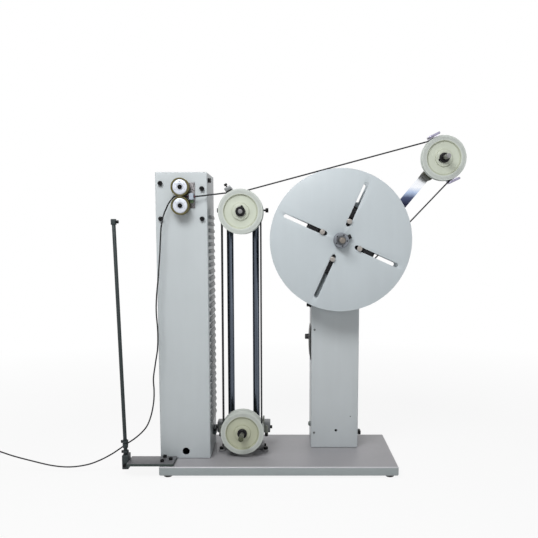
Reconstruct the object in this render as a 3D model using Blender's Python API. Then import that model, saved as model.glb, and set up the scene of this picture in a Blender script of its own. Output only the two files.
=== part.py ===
"""Wire pre-feeder: motor reel, spring-balanced dancer arm, wire accumulator and pinch-roller feed tower.

Metres, +Z up, front towards -Y. The origin is on the floor, under the middle of the machine's outline.
"""

import math

import bmesh
import bpy
from mathutils import Matrix, Vector

# Clearances and cutting
SEAT_GAP = 0.0003          # between pieces that touch
RUN_GAP = 0.0004           # radial, between a turning or sliding piece and its shaft
CUT_OVERRUN = 0.004        # how far a cutter runs past what it cuts

# Base pan, folded from sheet
BASE_WIDTH = 0.668
BASE_DEPTH = 0.340
BASE_CENTRE_X = -0.0324
PAN_HEIGHT = 0.026
PAN_WALL = 0.0025
PAN_BEND = 0.004
PAN_RETURN = 0.034
FOOT_HEIGHT = 0.008
FOOT_TOP_RADIUS = 0.014
FOOT_FLOOR_RADIUS = 0.011
FOOT_INSET = 0.022
FOOT_RIVET_RADIUS = 0.010

# Feed tower
TOWER_OVERHANG = 0.008
TOWER_WIDTH = 0.144
TOWER_DEPTH = 0.180
TOWER_HEIGHT = 0.813
TOWER_FRONT_INSET = 0.079
TOWER_WALL = 0.002
TOWER_BEND = 0.003
TOWER_HOLE_RADIUS = 0.009
TOWER_HOLE_HEIGHT = 0.022
TOWER_HOLE_OFFSET = 0.0035
COVER_WALL = 0.0015
LOUVRE_COUNT = 31
LOUVRE_PITCH = 0.0195
LOUVRE_LENGTH = 0.130
LOUVRE_DROP = 0.011
LOUVRE_PROUD = 0.0042
LOUVRE_SHEET = 0.0012
LOUVRE_TOP_DROP = 0.115
SWITCH_DEPTH = 0.050
SWITCH_HEIGHT = 0.020
SWITCH_PROUD = 0.0085
SWITCH_LIFT = 0.050

# Cap screws
SCREW_HEAD_RADIUS = 0.0065
SCREW_HEAD_HEIGHT = 0.008
SCREW_SOCKET_RADIUS = 0.0035
SCREW_SOCKET_DEPTH = 0.004
TOWER_SCREW_SIDE_INSET = 0.0145
TOWER_SCREW_TOP_LEFT = 0.031
TOWER_SCREW_TOP_RIGHT = 0.0455
TOWER_SCREW_LOW = 0.128
TOWER_SIDE_SCREW_DROP = 0.021
TOWER_SIDE_SCREW_INSET = 0.026

# Pinch rollers and their drive
ROLLER_OFFSET_X = 0.0005
LOWER_ROLLER_DROP = 0.093
ROLLER_SPACING = 0.0504
ROLLER_RADIUS = 0.0250
ROLLER_HUB_RADIUS = 0.0208
ROLLER_LENGTH = 0.030
ROLLER_STAND_OFF = 0.0035
ROLLER_GROOVE_DEPTH = 0.0022
ROLLER_GROOVE_HALF = 0.0034
ROLLER_FACE_HOLES = 6
ROLLER_FACE_HOLE_RADIUS = 0.0016
ROLLER_FACE_HOLE_CIRCLE = 0.0140
ROLLER_FACE_HOLE_DEPTH = 0.006
FEED_SHAFT_RADIUS = 0.006
FEED_BOLT_RADIUS = 0.006
FEED_BOLT_PROUD = 0.003
MOTOR_PLATE_WIDTH = 0.128
MOTOR_PLATE_HEIGHT = 0.160
MOTOR_PLATE_TOP_DROP = 0.014
MOTOR_PLATE_WALL = 0.008
GEAR_TEETH = 20
GEAR_WIDTH = 0.008
GEAR_ADDENDUM_SHARE = 0.90
GEAR_DEDENDUM_SHARE = 1.20
GEAR_BACKLASH_SHARE = 0.80
GEARBOX_WIDTH = 0.080
GEARBOX_DEPTH = 0.036
GEARBOX_POST_RADIUS = 0.004
GEARBOX_POST_INSET = 0.006
MOTOR_RADIUS = 0.036
MOTOR_LENGTH = 0.070
MOTOR_BORE_DEPTH = 0.020
GUIDE_OFFSET_X = 0.0295
GUIDE_WIDTH = 0.0125
GUIDE_HEIGHT = 0.0175
GUIDE_FRONT_PROUD = 0.006
GUIDE_BORE_RADIUS = 0.0026
GUIDE_PLATE_WIDTH = 0.0165
GUIDE_PLATE_HEIGHT = 0.070
GUIDE_PLATE_WALL = 0.0022
GUIDE_PLATE_LIFT = 0.004

# Wire guide post on its foot plate
FOOT_PLATE_WIDTH = 0.130
FOOT_PLATE_DEPTH = 0.073
FOOT_PLATE_WALL = 0.008
FOOT_PLATE_FRONT_INSET = 0.002
FOOT_PLATE_OVERHANG = 0.090
FOOT_SCREW_PLACES = ((0.025, 0.013), (0.031, 0.045), (0.014, 0.030))
POST_BLOCK_WIDTH = 0.021
POST_BLOCK_DEPTH = 0.036
POST_BLOCK_HEIGHT = 0.040
POST_BLOCK_DROP = 0.020
POST_FROM_FRONT = 0.045
POST_RADIUS = 0.0052
POST_LENGTH = 0.690
POST_LEAN = math.radians(1.46)
POST_BURY = 0.034
COLLAR_RADIUS = 0.0088
COLLAR_HEIGHT = 0.0080
COLLAR_UPPER_LIFT = 0.0350
COLLAR_LOWER_LIFT = 0.0030
COLLAR_KNOB_RADIUS = 0.0045
COLLAR_KNOB_LENGTH = 0.007
POST_CAP_WIDTH = 0.0135
POST_CAP_HEIGHT = 0.016
POST_CAP_PROUD = 0.004
EYELET_ARM_LENGTH = 0.0145
EYELET_RING_RADIUS = 0.0080
EYELET_BORE_RADIUS = 0.0048
EYELET_WIDTH = 0.004
EYELET_LIFT = 0.0245
EYELET_HUB_HEIGHT = 0.013

# Wire accumulator
ACC_FROM_TOWER = 0.0915
ROD_RADIUS = 0.010
ROD_SPACING = 0.075
ROD_FROM_FRONT = 0.111
ROD_TOP = 0.772
ROD_BLOCK_WIDTH = 0.122
ROD_BLOCK_DEPTH = 0.048
ROD_BLOCK_FLANGE = 0.016
ROD_BLOCK_POST_WIDTH = 0.030
ROD_BLOCK_TOP = 0.084
BRACKET_WIDTH = 0.139
BRACKET_DEPTH = 0.044
BRACKET_HEIGHT = 0.044
BRACKET_CENTRE_Z = 0.741
SHEAVE_RADIUS = 0.0625
SHEAVE_WIDTH = 0.021
SHEAVE_PITCH = 0.026
SHEAVE_PROUD = 0.0055
SHEAVE_GROOVE_RADIUS = 0.0524
SHEAVE_GROOVE_HALF = 0.0026
SHEAVE_FLANGE = 0.0018
WIRE_RUN_RADIUS = 0.0555
SHEAVE_RECESS_RADIUS = 0.0470
SHEAVE_RECESS_DEPTH = 0.0045
SHEAVE_BOSS_RADIUS = 0.0235
SHEAVE_CHAMFER = 0.0015
AXLE_RADIUS = 0.0065
AXLE_COLLAR_RADIUS = 0.0138
AXLE_COLLAR_LENGTH = 0.008
AXLE_SHOULDER_RADIUS = 0.010
SHEAVE_SPACER = 0.0046
UPPER_AXIS_Z = 0.739
LOWER_AXIS_Z = 0.106
UPPER_AXLE_PROUD = 0.003
LOWER_AXLE_PROUD = 0.058
KEEPER_ANGLE = math.radians(119.0)
KEEPER_CLEARANCE = 0.0035
KEEPER_THICKNESS = 0.014
KEEPER_WIDTH = 0.016
KEEPER_LEG_DEPTH = 0.0110
CARRIAGE_WIDTH = 0.158
CARRIAGE_DEPTH = 0.042
CARRIAGE_HEIGHT = 0.032
CARRIAGE_DROP = 0.0035
BUSH_RADIUS = 0.0135
BUSH_PROUD = 0.002

# Reel
REEL_CLEARANCE = 0.0183
REEL_Z = 0.6595
DISC_RIM = 0.024
DISC_WALL = 0.003
FRONT_DISC_SETBACK = 0.016
DISC_GAP = 0.074
SLOT_WIDTH = 0.0124
SLOT_INNER_RADIUS = 0.043
SLOT_OUTER_RADIUS = 0.176
SLOT_COUNT = 4
SLOT_END_STEPS = 4
SLOT_ANGLE = math.radians(66.0)
PIN_CIRCLE = 0.0576
PIN_RADIUS = 0.0057
PIN_HEAD_RADIUS = 0.0075
PIN_HEAD_LENGTH = 0.006
PIN_FLANGE_RADIUS = 0.0085
REEL_SHAFT_RADIUS = 0.0085
REEL_SHAFT_PROUD = 0.060
DISC_HUB_RADIUS = 0.030
CLAMP_COLLAR_RADIUS = 0.0215
CLAMP_COLLAR_LENGTH = 0.020
THUMB_SCREW_RADIUS = 0.0035
THUMB_SCREW_LENGTH = 0.010

# Reel column
COLUMN_FROM_REEL = 0.0788
COLUMN_WIDTH = 0.142
COLUMN_CLEARANCE = 0.013
COLUMN_DEPTH = 0.145
COLUMN_TOP = 0.770
HOUSING_FLANGE_RADIUS = 0.034
HOUSING_FLANGE = 0.005
HOUSING_RADIUS = 0.024
HOUSING_LENGTH = 0.040
REEL_MOTOR_RADIUS = 0.040
REEL_MOTOR_LENGTH = 0.075
REEL_MOTOR_BORE = 0.018
PANEL_HEIGHT = 0.106
PANEL_DEPTH = 0.084
PANEL_BOW = 0.006
PANEL_WALL = 0.003
PANEL_Z = 0.353
PANEL_STEPS = 8
PANEL_FRONT_INSET = 0.012
KNOB_RADIUS = 0.009
KNOB_LENGTH = 0.012
KNOB_LIFT = 0.015
KNOB_SPINDLE_RADIUS = 0.003
KNOB_FLUTES = 8

# Dancer arm
ARM_PIVOT_FROM_REEL = 0.0227
ARM_PIVOT_Z = 0.570
ARM_ANGLE = math.radians(50.4)
ARM_LENGTH = 0.4120
ARM_WIDTH = 0.0270
ARM_THICKNESS = 0.005
ARM_FROM_COLUMN = 0.0070
ARM_EYE_RADIUS = 0.020
ARM_PIVOT_RADIUS = 0.006
ARM_PIVOT_HEAD_RADIUS = 0.010
ARM_PIVOT_HEAD = 0.0022
END_BLOCK_START = 0.322
END_BLOCK_WIDTH = 0.031
END_BLOCK_OVERRUN = 0.012
ARM_PULLEY_SCALE_SHARE = 1.016
ARM_PULLEY_SETBACK = 0.016
ARM_AXLE_PROUD = 0.052
GUARD_WIDTH = 0.034
GUARD_WALL = 0.003
GUARD_CLEARANCE = 0.0050
GUARD_ANGLE = math.radians(115.5)
GUARD_LIP = 0.030

# Wire
WIRE_RADIUS = 0.0020
WIRE_SIDES_RESOLUTION = 2
COIL_LOOPS = 14
COIL_PITCH = 0.0048
COIL_RADIUS = 0.1010
COIL_POINTS_PER_LOOP = 24
ARC_STEP = math.radians(15.0)
EXIT_ANGLE = math.radians(95.5)

# Shares of a tooth and a knob
GEAR_TOOTH_SHARES = ((-0.36, False), (-0.15, True), (0.15, True), (0.36, False))
KNOB_FLUTE_SHARE = 0.88

# Round pieces and bends
BEVEL_STEPS = 2
BEVEL_ROUND = 0.5
SHARP_ANGLE = math.radians(35)
ROUND_FACETS = 18
FINE_FACETS = 20
DISC_FACETS = 48
AXLE_FACETS = 12
SMALL_FACETS = 8

# Free wire tail: hand-chosen points from the rollers down to the guide post and out to the left,
# from the base's left end and its front, and from the floor
TAIL_ROUTE = (
    (0.0480, 0.0610, 0.7790), (0.0390, 0.0605, 0.7705), (0.0313, 0.0595, 0.7595),
    (0.0239, 0.0575, 0.7440), (0.0170, 0.0555, 0.7263), (0.0127, 0.0540, 0.7070),
    (0.0097, 0.0525, 0.6828), (0.0062, 0.0505, 0.6238), (0.0004, 0.0495, 0.5560),
    (-0.0052, 0.0488, 0.5013), (-0.0065, 0.0484, 0.4600), (-0.0035, 0.0480, 0.4100),
    (-0.0048, 0.0482, 0.3613), (-0.0121, 0.0486, 0.3159), (-0.0185, 0.0493, 0.2742),
    (-0.0176, 0.0502, 0.2400), (-0.0195, 0.0513, 0.2080), (-0.0270, 0.0526, 0.1709),
    (-0.0395, 0.0541, 0.1385), (-0.0570, 0.0557, 0.1165), (-0.0795, 0.0585, 0.0972),
    (-0.1020, 0.0595, 0.0822), (-0.1220, 0.0595, 0.0678), (-0.1450, 0.0595, 0.0525),
    (-0.1783, 0.0595, 0.0350), (-0.2160, 0.0595, 0.0215), (-0.2649, 0.0595, 0.0150),
    (-0.3163, 0.0595, 0.0192), (-0.3787, 0.0595, 0.0342), (-0.4267, 0.0595, 0.0475),
    (-0.4670, 0.0595, 0.0615),
)

# Places worked out from the sizes above
BASE_TOP = FOOT_HEIGHT + PAN_HEIGHT
BASE_FRONT_Y = -BASE_DEPTH / 2
BASE_LEFT_X = BASE_CENTRE_X - BASE_WIDTH / 2
SEAT_Z = BASE_TOP + SEAT_GAP
TOWER_LEFT_X = BASE_LEFT_X - TOWER_OVERHANG
TOWER_RIGHT_X = TOWER_LEFT_X + TOWER_WIDTH
TOWER_X = TOWER_LEFT_X + TOWER_WIDTH / 2
TOWER_FRONT_Y = BASE_FRONT_Y + TOWER_FRONT_INSET
TOWER_REAR_Y = TOWER_FRONT_Y + TOWER_DEPTH
TOWER_TOP = BASE_TOP + TOWER_HEIGHT
ROLLER_X = TOWER_X + ROLLER_OFFSET_X
LOWER_ROLLER_Z = TOWER_TOP - LOWER_ROLLER_DROP
UPPER_ROLLER_Z = LOWER_ROLLER_Z + ROLLER_SPACING
NIP_Z = LOWER_ROLLER_Z + ROLLER_SPACING / 2
ROLLER_REAR_Y = TOWER_FRONT_Y - ROLLER_STAND_OFF
ROLLER_FRONT_Y = ROLLER_REAR_Y - ROLLER_LENGTH
NIP_Y = ROLLER_REAR_Y - ROLLER_LENGTH / 2
PLATE_FRONT_Y = TOWER_FRONT_Y + TOWER_WALL + SEAT_GAP
PLATE_REAR_Y = PLATE_FRONT_Y + MOTOR_PLATE_WALL
GEAR_FRONT_Y = PLATE_REAR_Y + GEARBOX_POST_RADIUS
GEARBOX_FRONT_Y = GEAR_FRONT_Y + GEAR_WIDTH + GEARBOX_POST_RADIUS
GUIDE_X = ROLLER_X + GUIDE_OFFSET_X
ACC_X = TOWER_RIGHT_X + ACC_FROM_TOWER
ROD_Y = TOWER_FRONT_Y + ROD_FROM_FRONT
SHEAVE_FRONT_Y = TOWER_FRONT_Y - SHEAVE_PROUD
UPPER_PLANES = [SHEAVE_FRONT_Y + SHEAVE_WIDTH / 2 + SHEAVE_PITCH * step for step in range(3)]
LOWER_PLANES = [(UPPER_PLANES[step] + UPPER_PLANES[step + 1]) / 2 for step in range(2)]
BRACKET_FRONT_Y = ROD_Y - BRACKET_DEPTH / 2
DISC_RADIUS = SLOT_OUTER_RADIUS + DISC_RIM
REEL_X = ACC_X + SHEAVE_RADIUS + REEL_CLEARANCE + DISC_RADIUS
FRONT_DISC_Y = TOWER_FRONT_Y + FRONT_DISC_SETBACK
REAR_DISC_Y = FRONT_DISC_Y + DISC_WALL + DISC_GAP
COLUMN_FRONT_Y = REAR_DISC_Y + DISC_WALL + COLUMN_CLEARANCE
COLUMN_LEFT_X = REEL_X - COLUMN_FROM_REEL
COLUMN_X = COLUMN_LEFT_X + COLUMN_WIDTH / 2
COLUMN_REAR_Y = COLUMN_FRONT_Y + COLUMN_DEPTH
ARM_PIVOT_X = REEL_X + ARM_PIVOT_FROM_REEL
ARM_Y = COLUMN_FRONT_Y - ARM_FROM_COLUMN
ARM_PULLEY_Y = FRONT_DISC_Y + ARM_PULLEY_SETBACK
ARM_DIRECTION = Vector((math.cos(ARM_ANGLE), 0, math.sin(ARM_ANGLE)))
ARM_TIP = Vector((ARM_PIVOT_X, 0, ARM_PIVOT_Z)) + ARM_DIRECTION * ARM_LENGTH
ARM_PULLEY_RADIUS = SHEAVE_RADIUS * ARM_PULLEY_SCALE_SHARE
ARM_RUN_RADIUS = WIRE_RUN_RADIUS
POST_BLOCK_RIGHT_X = BASE_LEFT_X - FOOT_PLATE_OVERHANG - SEAT_GAP
POST_X = POST_BLOCK_RIGHT_X - POST_BLOCK_WIDTH / 2
POST_Y = BASE_FRONT_Y + POST_FROM_FRONT
POST_BLOCK_LOW_Z = BASE_TOP + FOOT_PLATE_WALL / 2 - POST_BLOCK_DROP
POST_BLOCK_TOP_Z = POST_BLOCK_LOW_Z + POST_BLOCK_HEIGHT
POST_FOOT = Vector((POST_X, POST_Y, POST_BLOCK_TOP_Z))
POST_TURN = Matrix.Rotation(-POST_LEAN, 4, "Y")


def clear_scene():
    for old in list(bpy.data.objects):
        bpy.data.objects.remove(old, do_unlink=True)


def make_material(name, colour, roughness, metallic):
    finish = bpy.data.materials.new(name)
    finish.use_nodes = True
    shader = finish.node_tree.nodes["Principled BSDF"]
    shader.inputs["Base Color"].default_value = (*colour, 1)
    shader.inputs["Roughness"].default_value = roughness
    shader.inputs["Metallic"].default_value = metallic
    finish.diffuse_color = (*colour, 1)
    return finish


def place(name, mesh, finish, origin=(0, 0, 0)):
    """Link a mesh as a named object whose origin is at the given point."""
    item = bpy.data.objects.new(name, mesh)
    bpy.context.scene.collection.objects.link(item)
    item.location = origin
    if finish:
        mesh.materials.clear()
        mesh.materials.append(finish)
    return item


def mesh_from(name, points, faces):
    mesh = bpy.data.meshes.new(name)
    work = bmesh.new()
    corners = [work.verts.new(point) for point in points]
    for face in faces:
        work.faces.new([corners[index] for index in face])
    bmesh.ops.recalc_face_normals(work, faces=work.faces)
    work.to_mesh(mesh)
    work.free()
    return mesh


def block(name, low, high, finish=None, origin=(0, 0, 0), bevel=0, edges=None):
    """A box between two corners given from the origin; edges picks the direction of the bevelled edges."""
    work = bmesh.new()
    bmesh.ops.create_cube(work, size=1)
    centre = (Vector(low) + Vector(high)) / 2
    span = Vector(high) - Vector(low)
    bmesh.ops.scale(work, vec=span, verts=work.verts)
    bmesh.ops.translate(work, vec=centre, verts=work.verts)
    if bevel:
        chosen = []
        for edge in work.edges:
            run = (edge.verts[0].co - edge.verts[1].co).normalized()
            if edges is None or abs(run["XYZ".index(edges)]) > 0.5:
                chosen.append(edge)
        bmesh.ops.bevel(work, geom=chosen, offset=bevel, segments=BEVEL_STEPS, profile=BEVEL_ROUND, affect="EDGES")
    mesh = bpy.data.meshes.new(name)
    work.to_mesh(mesh)
    work.free()
    return place(name, mesh, finish, origin)


def turned(name, profile, finish=None, origin=(0, 0, 0), facets=ROUND_FACETS, axis="Y"):
    """Revolve (radius, distance along the axis) points; open ends lie on the axis, a bore closes the loop."""
    points = []
    rings = []
    for radius, along in profile:
        if radius == 0:
            rings.append([len(points)])
            points.append((0, along, 0))
            continue
        first = len(points)
        for step in range(facets):
            angle = math.tau * step / facets
            points.append((radius * math.cos(angle), along, radius * math.sin(angle)))
        rings.append(list(range(first, first + facets)))
    pairs = list(zip(rings, rings[1:]))
    if profile[0][0] and profile[-1][0]:
        pairs.append((rings[-1], rings[0]))
    faces = []
    for near, far in pairs:
        for step in range(facets):
            following = (step + 1) % facets
            if len(near) == 1:
                faces.append((near[0], far[step], far[following]))
            elif len(far) == 1:
                faces.append((near[step], near[following], far[0]))
            else:
                faces.append((near[step], near[following], far[following], far[step]))
    if axis == "Z":
        points = [(x, z, y) for x, y, z in points]
    elif axis == "X":
        points = [(y, x, z) for x, y, z in points]
    mesh = mesh_from(name, points, faces)
    mesh.shade_smooth()
    mesh.set_sharp_from_angle(angle=SHARP_ANGLE)
    return place(name, mesh, finish, origin)


def rod(name, radius, start, end, finish=None, origin=(0, 0, 0), facets=ROUND_FACETS, axis="Y", chamfer=0):
    profile = [(0, start), (radius - chamfer, start), (radius, start + chamfer),
               (radius, end - chamfer), (radius - chamfer, end), (0, end)]
    if not chamfer:
        profile = [(0, start), (radius, start), (radius, end), (0, end)]
    return turned(name, profile, finish, origin, facets, axis)


def extruded(name, outline, start, end, finish=None, origin=(0, 0, 0), axis="Y"):
    """Extrude a closed outline of two coordinates along the remaining axis."""
    def lift(first, second, along):
        if axis == "Y":
            return (first, along, second)
        if axis == "X":
            return (along, first, second)
        return (first, second, along)
    count = len(outline)
    points = [lift(*pair, start) for pair in outline] + [lift(*pair, end) for pair in outline]
    faces = [tuple(range(count)), tuple(range(count, 2 * count))]
    for step in range(count):
        following = (step + 1) % count
        faces.append((step, following, count + following, count + step))
    return place(name, mesh_from(name, points, faces), finish, origin)


def applied(item):
    """Bake an object's modifiers into its mesh."""
    graph = bpy.context.evaluated_depsgraph_get()
    baked = bpy.data.meshes.new_from_object(item.evaluated_get(graph))
    item.modifiers.clear()
    item.data = baked
    return item


def combine(item, others, operation):
    for other in others:
        step = item.modifiers.new(operation.lower(), "BOOLEAN")
        step.operation = operation
        step.solver = "EXACT"
        step.object = other
    bpy.context.view_layer.update()
    applied(item)
    for other in others:
        bpy.data.objects.remove(other, do_unlink=True)
    return item


def cut(item, *cutters):
    return combine(item, cutters, "DIFFERENCE")


def fuse(item, *others):
    return combine(item, others, "UNION")


def gather(name, pieces, finish=None, origin=(0, 0, 0)):
    """Put separate closed solids, made in world places, into one object, as a cutter or to be fused on."""
    work = bmesh.new()
    for piece in pieces:
        bpy.context.view_layer.update()
        copy = piece.data.copy()
        copy.transform(Matrix.Translation(-Vector(origin)) @ piece.matrix_world)
        work.from_mesh(copy)
        bpy.data.objects.remove(piece, do_unlink=True)
    mesh = bpy.data.meshes.new(name)
    work.to_mesh(mesh)
    work.free()
    return place(name, mesh, finish, origin)


def turn_mesh(item, matrix):
    item.data.transform(matrix)
    return item


def smooth_points(route, per_span):
    """Read points from a Catmull-Rom curve that passes through the route."""
    knots = [Vector(point) for point in route]
    padded = [knots[0] * 2 - knots[1]] + knots + [knots[-1] * 2 - knots[-2]]
    points = []
    for index in range(1, len(padded) - 2):
        before, start, end, after = padded[index - 1:index + 3]
        for step in range(per_span):
            t = step / per_span
            points.append(0.5 * ((2 * start) + (end - before) * t
                                 + (2 * before - 5 * start + 4 * end - after) * t ** 2
                                 + (3 * start - before - 3 * end + after) * t ** 3))
    points.append(knots[-1])
    return points


def wire_tube(name, points, finish=None, resolution=WIRE_SIDES_RESOLUTION):
    """A closed tube of the wire's radius along the points, as a mesh."""
    curve = bpy.data.curves.new(name, "CURVE")
    curve.dimensions = "3D"
    curve.bevel_depth = WIRE_RADIUS
    curve.bevel_resolution = resolution
    curve.use_fill_caps = True
    spline = curve.splines.new("POLY")
    spline.points.add(len(points) - 1)
    for knot, point in zip(spline.points, points):
        knot.co = (*point, 1)
    guide = bpy.data.objects.new(name + "_route", curve)
    bpy.context.scene.collection.objects.link(guide)
    graph = bpy.context.evaluated_depsgraph_get()
    mesh = bpy.data.meshes.new_from_object(guide.evaluated_get(graph))
    bpy.data.objects.remove(guide, do_unlink=True)
    bpy.data.curves.remove(curve)
    work = bmesh.new()
    work.from_mesh(mesh)
    bmesh.ops.remove_doubles(work, verts=work.verts, dist=SEAT_GAP / 10)
    bmesh.ops.recalc_face_normals(work, faces=work.faces)
    work.to_mesh(mesh)
    work.free()
    return place(name, mesh, finish)


def arc(centre, radius, start, end, plane_y):
    """Points of an arc seen from the front, from one angle to another."""
    count = max(2, math.ceil(abs(end - start) / ARC_STEP))
    points = []
    for step in range(count + 1):
        angle = start + (end - start) * step / count
        points.append(Vector((centre[0] + radius * math.cos(angle), plane_y,
                              centre[1] + radius * math.sin(angle))))
    return points


# Materials
PAINT = make_material("grey_paint", (0.56, 0.60, 0.61), 0.42, 0)
BASE_PAINT = make_material("base_paint", (0.34, 0.34, 0.35), 0.45, 0)
DARK = make_material("dark_steel", (0.055, 0.065, 0.065), 0.45, 0.6)
BLACK = make_material("black_oxide", (0.012, 0.012, 0.013), 0.40, 0.4)
STEEL = make_material("bright_steel", (0.62, 0.62, 0.62), 0.25, 1)
CHROME = make_material("chromed_steel", (0.80, 0.81, 0.83), 0.10, 1)
NYLON = make_material("cream_nylon", (0.66, 0.70, 0.59), 0.50, 0)
ALUMINIUM = make_material("turned_aluminium", (0.80, 0.81, 0.83), 0.30, 1)
TYRE = make_material("olive_polyurethane", (0.24, 0.22, 0.07), 0.45, 0)
BRONZE = make_material("bush_bronze", (0.45, 0.30, 0.13), 0.40, 1)
GREY_STEEL = make_material("bracket_grey", (0.17, 0.18, 0.18), 0.45, 0.4)
DISC_GREY = make_material("disc_grey", (0.55, 0.57, 0.58), 0.38, 0.2)
OLIVE = make_material("end_block_olive", (0.20, 0.20, 0.16), 0.50, 0.2)
CERAMIC = make_material("white_ceramic", (0.85, 0.87, 0.90), 0.25, 0)
MOTOR = make_material("motor_casing", (0.10, 0.10, 0.11), 0.55, 0.2)
WIRE = make_material("black_wire", (0.02, 0.02, 0.02), 0.45, 0)


def cap_screw(name, origin, towards):
    """A socket cap screw head seated on a face at the origin, standing out along a unit vector."""
    head = turned(name, [(0, -TOWER_WALL / 2), (SCREW_HEAD_RADIUS, -TOWER_WALL / 2), (SCREW_HEAD_RADIUS, SCREW_HEAD_HEIGHT),
                         (SCREW_SOCKET_RADIUS, SCREW_HEAD_HEIGHT),
                         (SCREW_SOCKET_RADIUS, SCREW_HEAD_HEIGHT - SCREW_SOCKET_DEPTH),
                         (0, SCREW_HEAD_HEIGHT - SCREW_SOCKET_DEPTH)], facets=SMALL_FACETS, axis="Z")
    turn = Vector((0, 0, 1)).rotation_difference(Vector(towards)).to_matrix().to_4x4()
    turn_mesh(head, turn)
    head.location = origin
    return head


def build_base():
    half_w = BASE_WIDTH / 2
    half_d = BASE_DEPTH / 2
    pan = block("base_pan", (-half_w, -half_d, FOOT_HEIGHT), (half_w, half_d, BASE_TOP), BASE_PAINT,
                (BASE_CENTRE_X, 0, 0), PAN_BEND)
    inner_w = half_w - PAN_WALL
    inner_d = half_d - PAN_WALL
    hollow = block("pan_hollow", (-inner_w, -inner_d, FOOT_HEIGHT + PAN_WALL),
                   (inner_w, inner_d, BASE_TOP - PAN_WALL), origin=(BASE_CENTRE_X, 0, 0))
    mouth = block("pan_mouth", (-half_w + PAN_RETURN, -half_d + PAN_RETURN, FOOT_HEIGHT - CUT_OVERRUN),
                  (half_w - PAN_RETURN, half_d - PAN_RETURN, FOOT_HEIGHT + PAN_WALL + CUT_OVERRUN),
                  origin=(BASE_CENTRE_X, 0, 0))
    fuse(hollow, mouth)
    cut(pan, hollow)
    feet = []
    for side in (-1, 1):
        for end in (-1, 1):
            foot_x = BASE_CENTRE_X + side * (half_w - FOOT_INSET)
            foot_y = end * (half_d - FOOT_INSET)
            feet.append(turned("foot", [(0, 0), (FOOT_FLOOR_RADIUS, 0), (FOOT_TOP_RADIUS, FOOT_HEIGHT),
                                        (FOOT_RIVET_RADIUS, FOOT_HEIGHT + PAN_WALL / 2), (0, FOOT_HEIGHT + PAN_WALL / 2)],
                               origin=(foot_x, foot_y, 0), facets=AXLE_FACETS, axis="Z"))
    fuse(pan, gather("feet", feet))


def louvre_prism(name, drop, proud, inset, side_inset, low_extra):
    """One row of wedge prisms down the tower's right side."""
    pieces = []
    centre_y = TOWER_FRONT_Y + TOWER_DEPTH / 2
    half = LOUVRE_LENGTH / 2 - side_inset
    for step in range(LOUVRE_COUNT):
        top_z = TOWER_TOP - LOUVRE_TOP_DROP - step * LOUVRE_PITCH
        wall_x = TOWER_RIGHT_X - inset
        outline = [(wall_x, top_z), (wall_x, top_z - drop - low_extra), (TOWER_RIGHT_X + proud, top_z - drop - low_extra)]
        pieces.append(extruded(name, outline, centre_y - half, centre_y + half))
    return gather(name, pieces)


def folded_box(name, low, high):
    """A folded sheet housing, open at the back, and the flat cover that closes it."""
    behind = high[1] + TOWER_BEND + CUT_OVERRUN
    shell = block(name + "_shell", low, (high[0], behind, high[2]), PAINT, bevel=TOWER_BEND)
    hollow = block(name + "_hollow", (low[0] + TOWER_WALL, low[1] + TOWER_WALL, low[2] + TOWER_WALL),
                   (high[0] - TOWER_WALL, behind + CUT_OVERRUN, high[2] - TOWER_WALL))
    trim = block(name + "_trim", (low[0] - CUT_OVERRUN, high[1], low[2] - CUT_OVERRUN),
                 (high[0] + CUT_OVERRUN, behind + CUT_OVERRUN, high[2] + CUT_OVERRUN))
    cut(shell, hollow, trim)
    block(name + "_rear_cover", (low[0] + SEAT_GAP, high[1] + SEAT_GAP, low[2] + SEAT_GAP),
          (high[0] - SEAT_GAP, high[1] + SEAT_GAP + COVER_WALL, high[2] - SEAT_GAP), PAINT)
    return shell


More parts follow.
